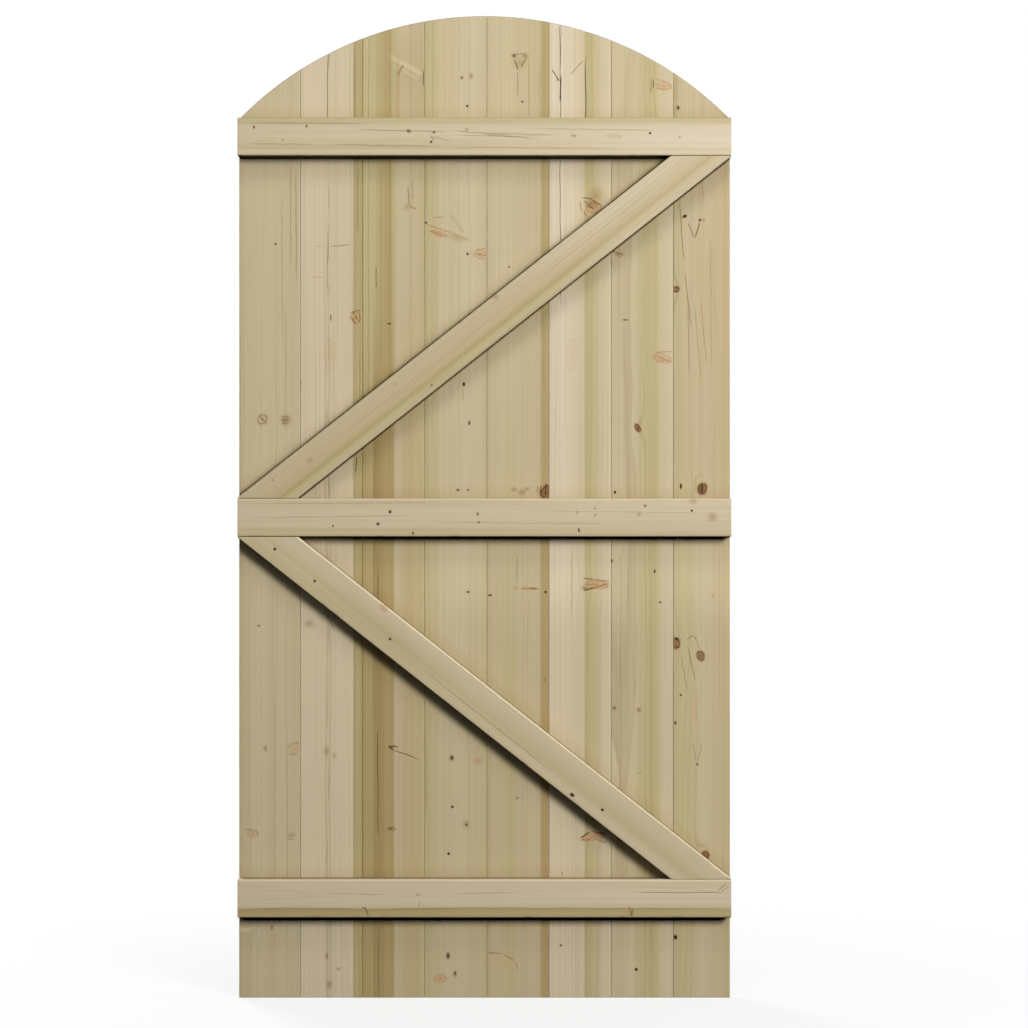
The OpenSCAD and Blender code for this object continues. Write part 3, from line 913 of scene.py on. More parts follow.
def inside(outline, point):
    """Whether a point is within a closed outline."""
    x, y = point
    ax, ay = outline[:, 0], outline[:, 1]
    bx, by = np.roll(ax, -1), np.roll(ay, -1)
    crosses = (ay > y) != (by > y)
    with np.errstate(divide="ignore", invalid="ignore"):
        at = ax + (y - ay) * (bx - ax) / (by - ay)
    return bool(np.count_nonzero(crosses & (x < at)) % 2)


def clearance(outline, point):
    """How far a point is from the nearest corner of an outline."""
    return float(np.min(np.hypot(outline[:, 0] - point[0], outline[:, 1] - point[1])))


def sweep(timber, section, start, end):
    """Builds a timber from its section. start(v) and end(v) say where its ends were cut."""
    outline = np.array(section)
    normals = outward(outline)
    first, last = start(outline[:, 0]), end(outline[:, 0])
    low, high = first.max() + 3 * END_ARRIS, last.min() - 3 * END_ARRIS
    middle = row_values(low, high, [u for u, _ in timber.nails])
    steps_low = max(1, round((low - first.min()) / ROW))
    steps_high = max(1, round((last.max() - high) / ROW))
    ease = [(0.0, 1.0), (0.3, 0.3), (1.0, 0.0)]

    rings = []                             # (u along every line, how far it is drawn in)
    for forward, inward in ease:
        rings.append((first + forward * END_ARRIS, inward * END_ARRIS))
    for k in range(1, steps_low):
        rings.append((first + END_ARRIS + (low - first - END_ARRIS) * k / steps_low, 0.0))
    for u in middle:
        rings.append((np.full(len(outline), u), 0.0))
    for k in range(1, steps_high):
        rings.append((high + (last - END_ARRIS - high) * k / steps_high, 0.0))
    for forward, inward in reversed(ease):
        rings.append((last - forward * END_ARRIS, inward * END_ARRIS))

    count = len(outline)
    u = np.concatenate([ring for ring, _ in rings])
    drawn = np.repeat([inward for _, inward in rings], count)
    v, w = np.tile(outline[:, 0], len(rings)), np.tile(outline[:, 1], len(rings))
    out_v, out_w = np.tile(normals[:, 0], len(rings)), np.tile(normals[:, 1], len(rings))
    stray = np.zeros_like(v)
    for _, _, v0, half, _ in timber.checks:
        near = (np.abs(v - v0) < 1.01 * half) & (w < 0.1 * MM)
        stray += near * check_path(u, timber.seed)
    sunk = relief(timber, u, v + stray, w) + drawn
    edge = np.abs(out_v * out_w) > 0.15    # the rounded arrises
    for corner, (way_v, way_w) in enumerate([(-1, -1), (1, -1), (1, 1), (-1, 1)]):
        here = edge & (out_v * way_v > 0) & (out_w * way_w > 0)
        sunk += here * dents(timber, u, corner)
    places = timber.place(u, v + stray - out_v * sunk, w - out_w * sunk)

    vertices = [tuple(p) for p in places]
    faces = []
    for r in range(len(rings) - 1):
        for k in range(count):
            a, b = r * count + k, r * count + (k + 1) % count
            faces.append((a, b, b + count, a + count))
    for ring, flip in ((0, True), (len(rings) - 1, False)):
        base = ring * count
        shrunk = outline - normals * END_ARRIS
        inner, triangles = cap(shrunk, 6 * MM)
        cut = start if flip else end
        spots = np.array(inner).reshape(-1, 2)
        saw = 0.12 * MM * (1 - waviness(spots[:, 1] * 6, spots[:, 0], timber.seed + ring, 0.06))
        cap_u = cut(spots[:, 0]) + (saw if flip else -saw)
        offset = len(vertices)
        vertices += [tuple(p) for p in timber.place(cap_u, spots[:, 0], spots[:, 1])]
        for triangle in triangles:
            corners = [base + k if k < count else offset + k - count for k in triangle]
            faces.append(tuple(reversed(corners)) if flip else tuple(corners))

    piece = make_piece(timber.name, ".wood", vertices, faces, 40)
    ends = np.zeros(len(vertices) - len(u))
    # A mask of the rounded arrises: it carries painted highlights on rails and boards, and lowers roughness
    # there.
    store(piece.data, "rounded_arris", np.concatenate([edge * 1.0, ends]))
    store(piece.data, "stain", np.concatenate([stain(timber, u, v, w), ends]))
    return piece


def make_piece(node, suffix, vertices, faces, sharp):
    """A smoothly shaded object, with an edge wherever its faces turn by more than sharp degrees."""
    mesh = bpy.data.meshes.new(node)
    mesh.from_pydata(vertices, [], faces)
    mesh.polygons.foreach_set("use_smooth", [True] * len(mesh.polygons))
    mesh.set_sharp_from_angle(angle=math.radians(sharp))
    piece = bpy.data.objects.new(node + suffix, mesh)
    bpy.context.scene.collection.objects.link(piece)
    return piece


def put_in_place(piece, node, material):
    """Gives a piece its material, and lets it stand for its node."""
    piece.data.materials.append(material)
    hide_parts(node)
    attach(piece, "root")


def store(mesh, name, values):
    """Keeps one number for each vertex, for the material to read."""
    layer = mesh.attributes.new(name, "FLOAT", "POINT")
    layer.data.foreach_set("value", np.array(values, dtype=np.float32))


def stain(timber, u, v, w):
    """The grey stain that zinc and iron leave in damp wood round each nail head."""
    back = w > timber.thickness - 0.1 * MM
    total = np.zeros_like(u)
    for u0, v0 in timber.nails:
        far = np.hypot((u - u0) * 0.8 + 0.6 * MM, v - v0) / (5 * MM)
        total += back * np.exp(-(far ** 2))
    return np.clip(total, 0, 1)


# ---- the wood's material ----

def grain_places(tree, timber):
    """u, v and w over the surface in metres, and how far it faces along the grain and across."""
    node = tree.nodes.new("ShaderNodeTexCoord")
    place = Field(tree, node.outputs["Object"])
    normal = Field(tree, node.outputs["Normal"])
    u = along(tree, place, timber.grain) - timber.origin.dot(timber.grain)
    v = along(tree, place, timber.across) - timber.origin.dot(timber.across)
    w = along(tree, place, timber.depth) - timber.origin.y
    end = along(tree, normal, timber.grain).size().ramp(0.55, 0.8)
    return u, v, w, end, along(tree, normal, timber.across)


def knot_push(timber, u, v):
    """How far the grain bends out round the knots."""
    total = None
    for u0, v0, radius, stretch, kind, _, _ in timber.marks:
        if kind in ("knot", "eye", "flame"):
            far = (((v - v0) / (radius * 2.4)) ** 2 + ((u - u0) / (radius * stretch * 4)) ** 2).root()
            bend = far.falloff() * (radius * (0.2 if kind == "flame" else 0.7))
            total = bend if total is None else total + bend
    return total


def growth_rings(tree, timber, u, v, w, pith, lean, spacing):
    """Late wood, from 0 to 1: the dark line that closes each year's ring.

    pith is where the heart of the tree was, in v and w, and lean how the cut ran off it."""
    offset = timber.seed * 1.7
    wander = noise(tree, vector(tree, u * 1.6 + offset, v * 9, w * 9), 2)
    ripple = noise(tree, vector(tree, u * 9, v * 30 + offset, w * 30), 1)
    off_v = v - pith[0] - u * lean[0]
    off_w = w - pith[1] - u * lean[1]
    radius = (off_v * off_v + off_w * off_w).root() + wander * 0.006 + ripple * 0.0006
    push = knot_push(timber, u, v)
    if push is not None:
        radius = radius + push
    year = radius / spacing
    uneven = noise(tree, vector(tree, year * 0.45 + offset, 0.0, 0.0), 2)
    year = year + uneven * 1.6
    part = year.fraction()
    line = part ** 6 * (1 - part.ramp(0.93, 1.0))
    vigour = noise(tree, vector(tree, year * 0.9 + offset, u * 0.5, 3.0), 1).ramp(-0.5, 0.8)
    patch = noise(tree, vector(tree, u * 1.2 + offset, v * 24, w * 24), 2).ramp(-0.6, 0.7)
    return line * (vigour * 1.35 + 0.12) * (patch * 0.8 + 0.3)


def new_group(name, inputs):
    """An empty node group with these inputs, given as {name: kind}, and a colour as its output."""
    group = bpy.data.node_groups.new(name, "ShaderNodeTree")
    for label, kind in inputs.items():
        group.interface.new_socket(name=label, in_out="INPUT", socket_type="NodeSocket" + kind)
    group.interface.new_socket(name="Colour", in_out="OUTPUT", socket_type="NodeSocketColor")
    entry = group.nodes.new("NodeGroupInput")
    return group, {label: Field(group, entry.outputs[label]) for label in inputs}


def finish_group(group, colour):
    """Gives a node group its output."""
    way_out = group.nodes.new("NodeGroupOutput")
    group.links.new(colour.socket, way_out.inputs[0])
    return group


def use_group(tree, group, **values):
    """Runs a node group on these inputs."""
    node = tree.nodes.new("ShaderNodeGroup")
    node.node_tree = group
    for label, value in values.items():
        plug(tree, node.inputs[label], value)
    return Field(tree, node.outputs[0])


def spot_frame(tree, fields):
    """Places round a mark, turned with it, where 1 is its edge."""
    node = tree.nodes.new("ShaderNodeMapping")
    node.vector_type = "TEXTURE"
    places = {"Spot": "Vector", "Centre": "Location", "Turn": "Rotation", "Size": "Scale"}
    for label, place in places.items():
        tree.links.new(fields[label].socket, node.inputs[place])
    return Field(tree, node.outputs[0])


MARK_INPUTS = {
    "Under": "Color", "Spot": "Vector", "Centre": "Vector", "Turn": "Vector", "Size": "Vector",
    "Strength": "Float", "Ragged": "Float",
}


def mark_group(kind):
    """Paints one knot or dot of a kind."""
    tree, fields = new_group("mark_" + kind, MARK_INPUTS)
    node = tree.nodes.new("ShaderNodeVectorMath")
    node.operation = "LENGTH"
    tree.links.new(spot_frame(tree, fields).socket, node.inputs[0])
    far = Field(tree, node.outputs["Value"]).math("MULTIPLY_ADD", 0.8, fields["Ragged"])
    tint, cover = colour_ramp(tree, far, MARKS[kind])
    return finish_group(tree, blend(tree, cover * fields["Strength"], fields["Under"], tint))


def stroke_group():
    """Draws one hairline, streak or split."""
    inputs = MARK_INPUTS | {"Tint": "Color", "Bend": "Float", "Sway": "Float"}
    tree, fields = new_group("stroke", inputs)
    node = tree.nodes.new("ShaderNodeSeparateXYZ")
    tree.links.new(spot_frame(tree, fields).socket, node.inputs[0])
    run, off = Field(tree, node.outputs[0]), Field(tree, node.outputs[1])
    rough = fields["Ragged"]
    far = (fields["Sway"] * fields["Bend"] + off + rough * 0.25).size()
    near = far.ramp(1.5, 0.4) * run.size().ramp(1.04, 0.55) * (0.9 + rough * 0.35)
    return finish_group(tree, blend(tree, near * fields["Strength"], fields["Under"], fields["Tint"]))


def draw_marks(tree, timber, spot, u, v, colour):
    """Paints the knots and dots over the wood."""
    rough = noise(tree, vector(tree, u * 110, v * 110, timber.seed), 2, 0.6) * 0.09
    broad = noise(tree, vector(tree, u * 45, v * 45, timber.seed + 5), 1)
    ragged = rough + broad * 0.15
    for u0, v0, radius, stretch, kind, strength, slant in timber.marks:
        colour = use_group(
            tree, MARK_GROUPS[kind], Under=colour, Spot=spot, Centre=(u0, v0, 0),
            Turn=(0, 0, -math.atan(slant)), Size=(radius * stretch, radius, 1), Strength=strength,
            Ragged=rough if kind == "dot" else ragged,
        )
    return colour


def draw_strokes(tree, timber, spot, u, v, colour):
    """Draws the hairlines, streaks and fine splits, each from one place to another."""
    rough = noise(tree, vector(tree, u * 160, v * 160, timber.seed), 2, 0.6)
    sway = noise(tree, vector(tree, u * 40, v * 40, timber.seed + 9), 1)
    for (u0, v0), (u1, v1), half, tint, strength in timber.strokes:
        length = math.hypot(u1 - u0, v1 - v0)
        colour = use_group(
            tree, STROKE_GROUP, Under=colour, Spot=spot, Centre=((u0 + u1) / 2, (v0 + v1) / 2, 0),
            Turn=(0, 0, math.atan2(v1 - v0, u1 - u0)), Size=(length / 2, half, 1), Strength=strength,
            Ragged=rough, Sway=sway, Bend=min(length * 0.05, 1.2 * MM) / half, Tint=STROKE[tint],
        )
    return colour


MARK_GROUPS = {kind: mark_group(kind) for kind in MARKS}
STROKE_GROUP = stroke_group()


def draw_checks(tree, timber, u, v, colour):
    """Paints the drying cracks that run with the grain."""
    for start, end, v0, half, deep in timber.checks:
        stray = (u * 23 + timber.seed).wave() * (0.7 * MM) + (u * 71 + 2 * timber.seed).wave() * (0.4 * MM)
        near = 1 - ((v - v0 - stray).size() / (half * 1.3)).ramp(0.35, 1)
        taper = u.ramp(start, start + 0.04) * (1 - u.ramp(end - 0.04, end))
        colour = blend(tree, near * taper * min(1, deep / (1.2 * MM)), colour, STROKE["crack"])
    return colour


def draw_bands(tree, timber, u, v, sway, mottle):
    """The heartwood, sapwood and stain bands across a face, which change from end to end."""
    place = (v - timber.first_side + sway) / timber.width
    high, low = (
        colour_ramp(tree, place, [(far * MM / timber.width, WOOD[name]) for far, name in bands])[0]
        for bands in BANDS[timber.name]
    )
    rise = (u + mottle * 0.12).ramp(*BAND_CHANGE[timber.name])
    return blend(tree, rise, low, high)


def wood_patterns(tree, timber, u, v, w):
    """The patterns in the wood, by name."""
    seed = timber.seed
    pith, lean, spacing, _ = GRAIN[timber.name]
    strong = noise(tree, vector(tree, u * 0.9, v * 14 - seed, w * 14), 1).ramp(-0.6, 0.9)
    hair = noise(tree, vector(tree, u * 0.5 + seed, v * 300, w * 300), 2, 0.6)
    return {
        "line": growth_rings(tree, timber, u, v, w, (pith[0] * MM, pith[1] * MM), lean, spacing * MM),
        "fibre": noise(tree, vector(tree, u * 9 + seed, v * 620, w * 620), 2, 0.6),
        "streak": noise(tree, vector(tree, u * 0.8, v * 62 + seed, w * 62), 4, 0.65),
        "hair": hair * (strong * 1.3 + 0.35),
        "drift": noise(tree, vector(tree, u * 1.1 - seed, v * 30, w * 30), 2),
        "mottle": noise(tree, vector(tree, u * 2.2 + seed, v * 11, w * 11), 2),
    }


def wood_shade(tree, timber, u, w, patterns, streaking):
    """What the patterns multiply the wood's colour by, with a band of painted light below the middle ledge.
    """
    line, streak, hair, drift = (patterns[name] for name in ("line", "streak", "hair", "drift"))
    contrast = GRAIN[timber.name][3]
    tone = 1 + streak * (0.045 * streaking) + hair * 0.08 + patterns["fibre"] * 0.02
    tone = tone - line * (0.26 * contrast)
    rose = 1 + drift * (0.013 * streaking)
    warm = tone + streak * (0.03 * streaking) + drift * 0.03 + hair * 0.045 - line * (0.12 * contrast)
    # Painted light: a band on the ledged side just below the middle ledge is brightened.
    if timber.name in PAINTED_LIGHT_SHARE:
        painted_zone = ((u - PAINTED_LIGHT_Z).size() + patterns["mottle"] * 0.02).ramp(PAINTED_LIGHT_REACH, PAINTED_LIGHT_FULL)
        painted_light = painted_zone * w.ramp(3 * MM, 1 * MM) * PAINTED_LIGHT_SHARE[timber.name]
        tone = tone + painted_light
        warm = warm + painted_light * 1.2
    return vector(tree, tone * rose, tone * 0.6 + warm * 0.4, warm)


def wood_material(timber, streaking):
    """The whole look of one timber."""
    material, tree, shader = new_material(timber.name + "_wood")
    u, v, w, end, side = grain_places(tree, timber)
    patterns = wood_patterns(tree, timber, u, v, w)
    line, fibre, streak, mottle = (patterns[name] for name in ("line", "fibre", "streak", "mottle"))

    sway = streak * (0.5 * MM) + mottle * (0.9 * MM)
    colour = draw_bands(tree, timber, u, v, sway, mottle)
    colour = blend(tree, mottle.ramp(0.0, 1.1) * 0.12, colour, GREEN_TINT)
    shade = wood_shade(tree, timber, u, w, patterns, streaking)
    colour = blend(tree, 1.0, colour, shade, "MULTIPLY")

    spot = vector(tree, u, v, 0.0)
    colour = draw_marks(tree, timber, spot, u, v, colour)
    colour = draw_strokes(tree, timber, spot, u, v, colour)
    colour = draw_checks(tree, timber, u, v, colour)
    # Painted shade and highlights laid over the wood's own colour.
    if timber.name in BOARDS:
        colour = paint_board_shade_and_highlight(tree, timber, u, v, w, colour)
    else:
        colour = paint_rail_light_and_shade(tree, timber, w, side, colour)
    end_tone = 0.78 - line * 0.35 + fibre * 0.07
    sawn = blend(tree, 1.0, colour, vector(tree, end_tone, end_tone * 0.97, end_tone * 0.9), "MULTIPLY")
    colour = blend(tree, end, colour, sawn)
    colour = blend(tree, attribute(tree, "stain") * 0.6, colour, NAIL_STAIN)
    tree.links.new(colour.socket, shader.inputs["Base Color"])

    gloss = 0.62 + line * -0.1 + fibre * 0.05 + streak * 0.04 + end * 0.2 - attribute(tree, "rounded_arris") * 0.14
    plug(tree, shader.inputs["Roughness"], gloss)
    shader.inputs["Specular IOR Level"].default_value = 0.2
    shader.inputs["Specular Tint"].default_value = WARM_SHEEN
    add_bump(tree, shader, fibre * 0.35 + line * 0.8 + streak * 0.3, 0.6, 0.25 * MM)
    return material


def paint_rail_light_and_shade(tree, timber, w, side, colour):
    """Paints a highlight on a rail's upward-facing arris, and paints shade on its underside and on the inner
    part of its upper side.
    """
    arris_light_share, underside_shade_share = RAIL_PAINTED_LIGHT[timber.name]
    # Painted highlight along the upward-facing arris; a negative share paints it darker.
    light = attribute(tree, "rounded_arris") * (side * -1).ramp(0.1, 0.75) * arris_light_share * 0.3 + 1
    colour = blend(tree, 1.0, colour, vector(tree, light, light, light * 0.99), "MULTIPLY")
    # Painted shade on the underside, and on the upper side where it nears the boards.
    under = side.ramp(0.6, 0.92) * underside_shade_share
    upper = (side * -1).ramp(0.8, 1.0) * w.ramp(4 * MM, 20 * MM) * 0.45
    dark = (1 - under * 0.95) * (1 - upper)
    return blend(tree, 1.0, colour, vector(tree, dark, dark ** 1.08, dark ** 1.25), "MULTIPLY")


def paint_board_shade_and_highlight(tree, timber, u, v, w, colour):
    """Paints shade on a board along each rail and at the edge of the arch, and a faint highlight on its
    rounded arrises.
    """
    lee, far = rail_distances(timber, u, v)
    # Painted shadow: a dark contact line along each rail's shaded side, a thin line along every rail and a
    # broad falloff beside it, on the ledged side.
    face = 1 - w.ramp(1 * MM, 3 * MM)
    painted_contact_shadow = lee.ramp(3.6 * MM, 0.6 * MM) * 0.9
    close = far.ramp(3 * MM, 0.0) * 0.15
    broad = far.ramp(32 * MM, 0.0) * 0.12
    dark = 1 - face * (1 - (1 - painted_contact_shadow) * (1 - close) * (1 - broad))
    colour = blend(tree, 1.0, colour, vector(tree, dark, dark ** 1.14, dark ** 1.4), "MULTIPLY")
    # Painted shade along the edge of the arch, and a faint painted highlight on the rounded arrises.
    rim = ARCH_R - ((v + timber.origin.x) ** 2 + (u - CROWN_Z + ARCH_R).math("MAXIMUM", 0) ** 2).root()
    edge = 1 - rim.ramp(2.2 * MM, 0.4 * MM) * 0.3 + attribute(tree, "rounded_arris") * 0.05
    return blend(tree, 1.0, colour, vector(tree, edge, edge, edge * 0.97), "MULTIPLY")


def rail_distances(timber, u, v):
    """How far a place on a board is from the nearest rail side where shadow is painted, and from the nearest
    rail.
    """
    x, z = v + timber.origin.x, u
    painted_zone, beside = [], []
    for name in LEDGES:
        low, high = BOXES[name]
        painted_zone.append((z - low.z).size())
        beside.append((z - (low.z + high.z) / 2).size() - RAIL_W / 2)
    for name, way in BRACES.items():
        low, high = BOXES[name]
        centre, across, up = brace_line(name)
        off = (x - centre.x) * up * way * -1 + (z - centre.z) * across
        outside = ((z - centre.z).size() - (high.z - low.z) / 2).math("MAXIMUM", 0) * 20
        hidden = BRACE_HIDDEN if way == 1 else 0.0
        painted_zone.append((off * way - (RAIL_W / 2 + hidden)).size() + outside)
        if way == 1:
            painted_zone.append((off * -1 - RAIL_W / 2).size() + outside + BRACE_LIT)
        beside.append((off.size() - RAIL_W / 2).math("MAXIMUM", 0) + outside)
    return painted_zone[0].least(*painted_zone[1:]), beside[0].least(*beside[1:])


def add_marks(timber):
    """Puts the knots, hairlines and checks listed for a timber on its face."""
    for kind, x, z, radius, *rest in KNOTS[timber.name]:
        stretch, strength, slant = [*rest, *(1, 1, 0)[len(rest):]]
        timber.marks.append((*timber.uv(x, z), radius * MM, stretch, kind, strength, slant))
    for x0, z0, x1, z1, half, tint, strength in HAIRLINES[timber.name]:
        timber.strokes.append((timber.uv(x0, z0), timber.uv(x1, z1), half * MM, tint, strength))
    for x0, z0, x1, z1, half, deep in CHECKS.get(timber.name, []):
        (start, v), (end, _) = timber.uv(x0, z0), timber.uv(x1, z1)
        timber.checks.append((start, end, v, half * MM, deep * MM))


def finish_timber(timber, section, start, end, streaking):
    """Sweeps a timber's section from start to end, and puts the wood in its node's place."""
    piece = sweep(timber, section, start, end)
    put_in_place(piece, timber.name, wood_material(timber, streaking))


# ---- boards ----

def arch_height(x):
    """How high the arch is at x."""
    return CROWN_Z - ARCH_R + np.sqrt(ARCH_R ** 2 - np.minimum(np.abs(x), HALF_WIDTH) ** 2)


def make_board(index, name, nails):
    """A board between its joints, cut to the arch."""
    left, right = JOINTS[index], JOINTS[index + 1]
    first, last = index == 0, index == len(BOARDS) - 1
    left += 0 if first else JOINT_GAP / 4
    right -= 0 if last else JOINT_GAP
    timber = Timber(name, (left, BOARD_Y, 0), (0, 0, 1), right - left, BOARD_T, 0.0, 11 + 7 * index)
    add_marks(timber)
    timber.nails = [timber.uv(x / MM, z / MM) for x, z in nails if left < x < right]
    finish_timber(
        timber, board_section(timber, tongued=not last, grooved=not first),
        lambda v: np.zeros_like(v), lambda v: arch_height(left + v), BOARD_STREAKING,
    )


# ---- ledges and braces ----


def make_rail(name, origin, grain, start, end, seed, extra=()):
    """A ledge or a brace. extra holds more columns of its mesh."""
    timber = Timber(name, origin, grain, RAIL_W, RAIL_T, -RAIL_W / 2, seed)
    add_marks(timber)
    finish_timber(timber, rail_section(timber, extra), start, end, RAIL_STREAKING)


def make_ledge(name, seed):
    """A ledge across the whole leaf."""
    low, high = BOXES[name]
    origin = (low.x, low.y, (low.z + high.z) / 2)
    make_rail(
        name, origin, (1, 0, 0), lambda v: np.zeros_like(v), lambda v: np.full_like(v, high.x - low.x),
        seed,
    )


def brace_line(name):
    """A brace's centre, and the cosine and sine of its rise."""
    low, high = BOXES[name]
    run, climb = high.x - low.x, high.z - low.z - 2 * BRACE_TIP
    angle = math.atan2(climb, run) + math.asin(RAIL_W / math.hypot(run, climb))
    centre = Vector(((low.x + high.x) / 2, low.y, (low.z + high.z) / 2))
    return centre, math.cos(angle), math.sin(angle)


def make_brace(name, way, seed):
    """A brace from corner to corner of its bay. way is 1 to rise to the right and -1 to the left."""
    low, high = BOXES[name]
    run, rise = high.x - low.x, high.z - low.z
    centre, across, up = brace_line(name)

    def reach(v):
        """How far each line of the brace runs from the centre before a cut stops it.

        A line at v is v to the lower side of a rising brace."""
        sideways = way * v
        by_height = (rise / 2 + sideways * across) / up
        by_edge = (run / 2 - sideways * up) / across
        return np.minimum(by_height, by_edge)

    # Where the level cut meets the short upright one.
    corner = (run / 2 / across - rise / 2 / up) / (across / up + up / across)
    make_rail(
        name, centre, (across, 0, way * up), lambda v: -reach(-v), reach,
        seed, extra=[corner, -corner],
    )


# ---- nails ----

NAIL_HEAD_R = 3.5 * MM
NAIL_SHANK_R = 1.5 * MM
NAIL_L = 50 * MM
NAIL_SIDES = 20
NAIL_TRIM = 0.985                          # keeps the rounded nail inside the CAD's
HEAD_OVAL = 0.03


def nail_places(name):
    """Where a group's nails are, in x and z, from their heads in the frame."""
    heads = []
    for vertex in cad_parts[name].data.vertices:
        if vertex.co.y > FACE_Y - 0.2 * MM:
            for head in heads:
                if math.hypot(vertex.co.x - head[0][0], vertex.co.z - head[0][1]) < 2.5 * NAIL_HEAD_R:
                    head.append((vertex.co.x, vertex.co.z))
                    break
            else:
                heads.append([(vertex.co.x, vertex.co.z)])
    return [tuple((min(values) + max(values)) / 2 for values in zip(*head)) for head in heads]


def nail_outline():
    """(depth below the boarded face, radius) from the middle of the head to the point."""
    head, shank = NAIL_HEAD_R, NAIL_SHANK_R
    outline = [
        (0.30 * MM, 0.0), (0.28 * MM, 0.45 * head), (0.30 * MM, 0.8 * head), (0.38 * MM, 0.93 * head),
        (0.60 * MM, head), (0.95 * MM, 0.97 * head), (1.2 * MM, 0.7 * head), (1.7 * MM, 1.1 * shank),
    ]
    for k in range(6):                     # the marks where the wire was gripped
        outline += [(2.2 * MM + k * MM, shank), (2.6 * MM + k * MM, 0.93 * shank)]
    outline += [(9 * MM, shank), (NAIL_L - 5 * MM, shank), (NAIL_L - 2 * MM, 0.55 * shank)]
    outline += [(NAIL_L, 0.25 * shank)]
    return outline


def make_nails(name, steel):
    """All the nails of one ledge or brace, each turned and sunk a little differently."""
    outline = nail_outline()
    rings = len(outline) - 1
    random = np.random.default_rng(len(name) * 13)
    vertices, faces = [], []
    for x, z in nail_places(name):
        base = len(vertices)
        twist = random.uniform(0, math.pi)
        sunk = random.uniform(0, 0.12) * MM
        for depth, radius in outline[1:]:
            for k in range(NAIL_SIDES):
                turn = twist + 2 * math.pi * k / NAIL_SIDES
                squash = 1 - HEAD_OVAL * math.cos(2 * turn) if depth < 1.5 * MM else 1
                reach = radius * squash * NAIL_TRIM
                across, up = reach * math.cos(turn), reach * math.sin(turn)
                vertices.append((x + across, FACE_Y - depth - sunk, z + up))
        for r in range(rings - 1):
            for k in range(NAIL_SIDES):
                a, b = base + r * NAIL_SIDES + k, base + r * NAIL_SIDES + (k + 1) % NAIL_SIDES
                faces.append((a, b, b + NAIL_SIDES, a + NAIL_SIDES))
        top, tip = len(vertices), len(vertices) + 1
        vertices += [(x, FACE_Y - outline[0][0] - sunk, z), (x, FACE_Y - NAIL_L - 0.3 * MM - sunk, z)]
        last = base + (rings - 1) * NAIL_SIDES
        for k in range(NAIL_SIDES):
            after = (k + 1) % NAIL_SIDES
            faces += [(top, base + after, base + k), (tip, last + k, last + after)]
    piece = make_piece(name, ".steel", vertices, faces, 50)
    put_in_place(piece, name, steel)


def galvanised_material():
    """Dull hot-dipped zinc, with its spangle and a little white rust."""
    material, tree, shader = new_material("galvanised")
    node = tree.nodes.new("ShaderNodeTexCoord")
    place = Field(tree, node.outputs["Object"])
    x, y, z = (along(tree, place, axis) for axis in ((1, 0, 0), (0, 1, 0), (0, 0, 1)))
    spangle = noise(tree, vector(tree, x * 900, y * 900, z * 900), 2)
    bloom = noise(tree, vector(tree, x * 300, y * 300, z * 300), 3)
    colour = blend(tree, spangle.ramp(-0.6, 0.8), srgb(128, 130, 132), srgb(176, 178, 178))
    colour = blend(tree, bloom.ramp(0.25, 0.9) * 0.5, colour, srgb(196, 194, 186))
    tree.links.new(colour.socket, shader.inputs["Base Color"])
    shader.inputs["Metallic"].default_value = 0.85
    plug(tree, shader.inputs["Roughness"], 0.48 + spangle * 0.1 + bloom * 0.12)
    add_bump(tree, shader, spangle, 0.5, 0.1 * MM)
    return material


# ---- studio ----

CAMERA_LENS = 103.7
CAMERA_REACH = 5.43                        # from the boards
CAMERA_X = 0.054
CAMERA_Z = 0.887
FLOOR_REACH = 12
LEAF_MIDDLE = (0, 0, 0.9)
LAMPS = [                                  # name, place, (width, height), watts
    ("key", (2.8, -5.0, 2.5), (1.9, 1.9), 345),
    ("top", (0.3, -2.0, 4.2), (1.6, 1.0), 35),
    ("fill", (-3.0, -4.5, 3.2), (2.5, 2.5), 31),
    ("back_key", (-2.8, 5.0, 2.5), (1.9, 1.9), 345),
    ("back_fill", (2.4, 4.5, 2.6), (2.5, 2.5), 45),
]


def make_camera():
    """Square on to the ledged side, a little right of and below the leaf's middle."""
    data = bpy.data.cameras.new("camera")
    data.lens = CAMERA_LENS
    camera = bpy.data.objects.new("camera", data)
    camera.location = (CAMERA_X, BOARD_Y - CAMERA_REACH, CAMERA_Z)
    camera.rotation_euler = (math.pi / 2, 0, 0)
    bpy.context.scene.collection.objects.link(camera)
    bpy.context.scene.camera = camera


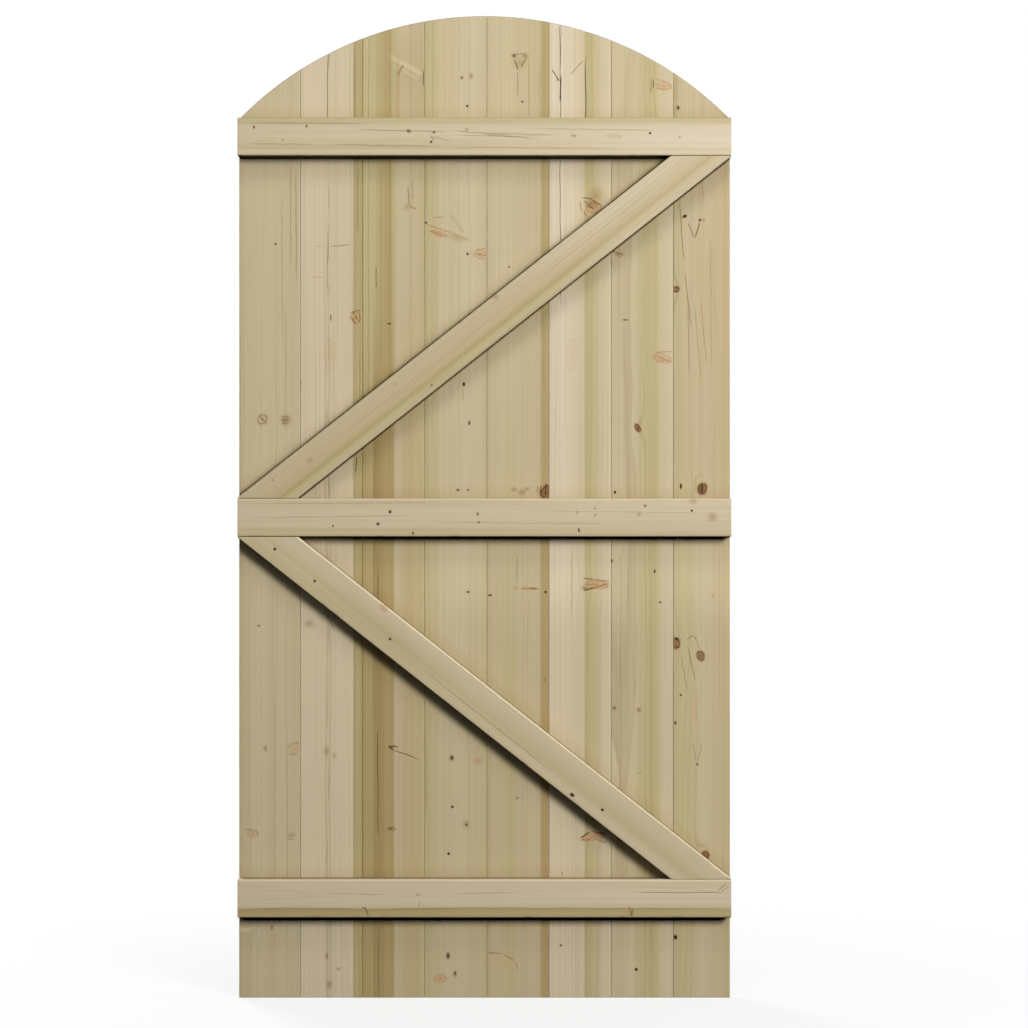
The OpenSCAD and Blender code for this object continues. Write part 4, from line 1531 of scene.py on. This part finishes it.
def make_lamp(name, place, size, power):
    """A white soft lamp that faces the leaf's middle."""
    data = bpy.data.lights.new(name, "AREA")
    data.shape = "RECTANGLE"
    data.size, data.size_y = size
    data.energy = power
    lamp = bpy.data.objects.new(name, data)
    lamp.location = place
    lamp.rotation_euler = (Vector(LEAF_MIDDLE) - Vector(place)).to_track_quat("-Z", "Y").to_euler()
    lamp.visible_camera = False
    bpy.context.scene.collection.objects.link(lamp)


def make_studio():
    """White all round, a pale floor, and soft lamps with the key from the upper right."""
    scene = bpy.context.scene
    scene.view_settings.view_transform = "Standard"
    world = bpy.data.worlds.new("studio")
    world.use_nodes = True
    world.node_tree.nodes["Background"].inputs["Color"].default_value = (1, 1, 1, 1)
    world.cycles_visibility.diffuse = False
    world.cycles_visibility.glossy = False
    scene.world = world

    mesh = bpy.data.meshes.new("floor")
    corners = [(x * FLOOR_REACH, y * FLOOR_REACH, 0) for x, y in ((-1, -1), (1, -1), (1, 1), (-1, 1))]
    mesh.from_pydata(corners, [], [(0, 1, 2, 3)])
    floor = bpy.data.objects.new("floor", mesh)
    floor.visible_diffuse = False
    floor.visible_glossy = False
    scene.collection.objects.link(floor)
    floor.data.materials.append(floor_material())

    for lamp in LAMPS:
        make_lamp(*lamp)


def floor_material():
    """Pale paper, which fades into the white round it."""
    material, tree, shader = new_material("floor")
    shader.inputs["Base Color"].default_value = (0.85, 0.85, 0.85, 1)
    shader.inputs["Roughness"].default_value = 0.8
    white = tree.nodes.new("ShaderNodeEmission")
    node = tree.nodes.new("ShaderNodeTexCoord")
    place = Field(tree, node.outputs["Object"])
    x, y = (along(tree, place, axis) for axis in ((1, 0, 0), (0, 1, 0)))
    far = (x * x + y * y).root()
    mix = tree.nodes.new("ShaderNodeMixShader")
    plug(tree, mix.inputs[0], 0.8 + far.ramp(0.3, 1.6) * 0.2)
    tree.links.new(shader.outputs[0], mix.inputs[1])
    tree.links.new(white.outputs[0], mix.inputs[2])
    tree.links.new(mix.outputs[0], tree.nodes["Material Output"].inputs["Surface"])
    return material


# ---- the gate ----

make_camera()
make_studio()
steel = galvanised_material()
all_nails = [place for name in NAILS for place in nail_places(name)]
for index, name in enumerate(BOARDS):
    make_board(index, name, all_nails)
for seed, name in enumerate(LEDGES, start=101):
    make_ledge(name, seed)
for seed, (name, way) in enumerate(BRACES.items(), start=111):
    make_brace(name, way, seed)
for name in NAILS:
    make_nails(name, steel)
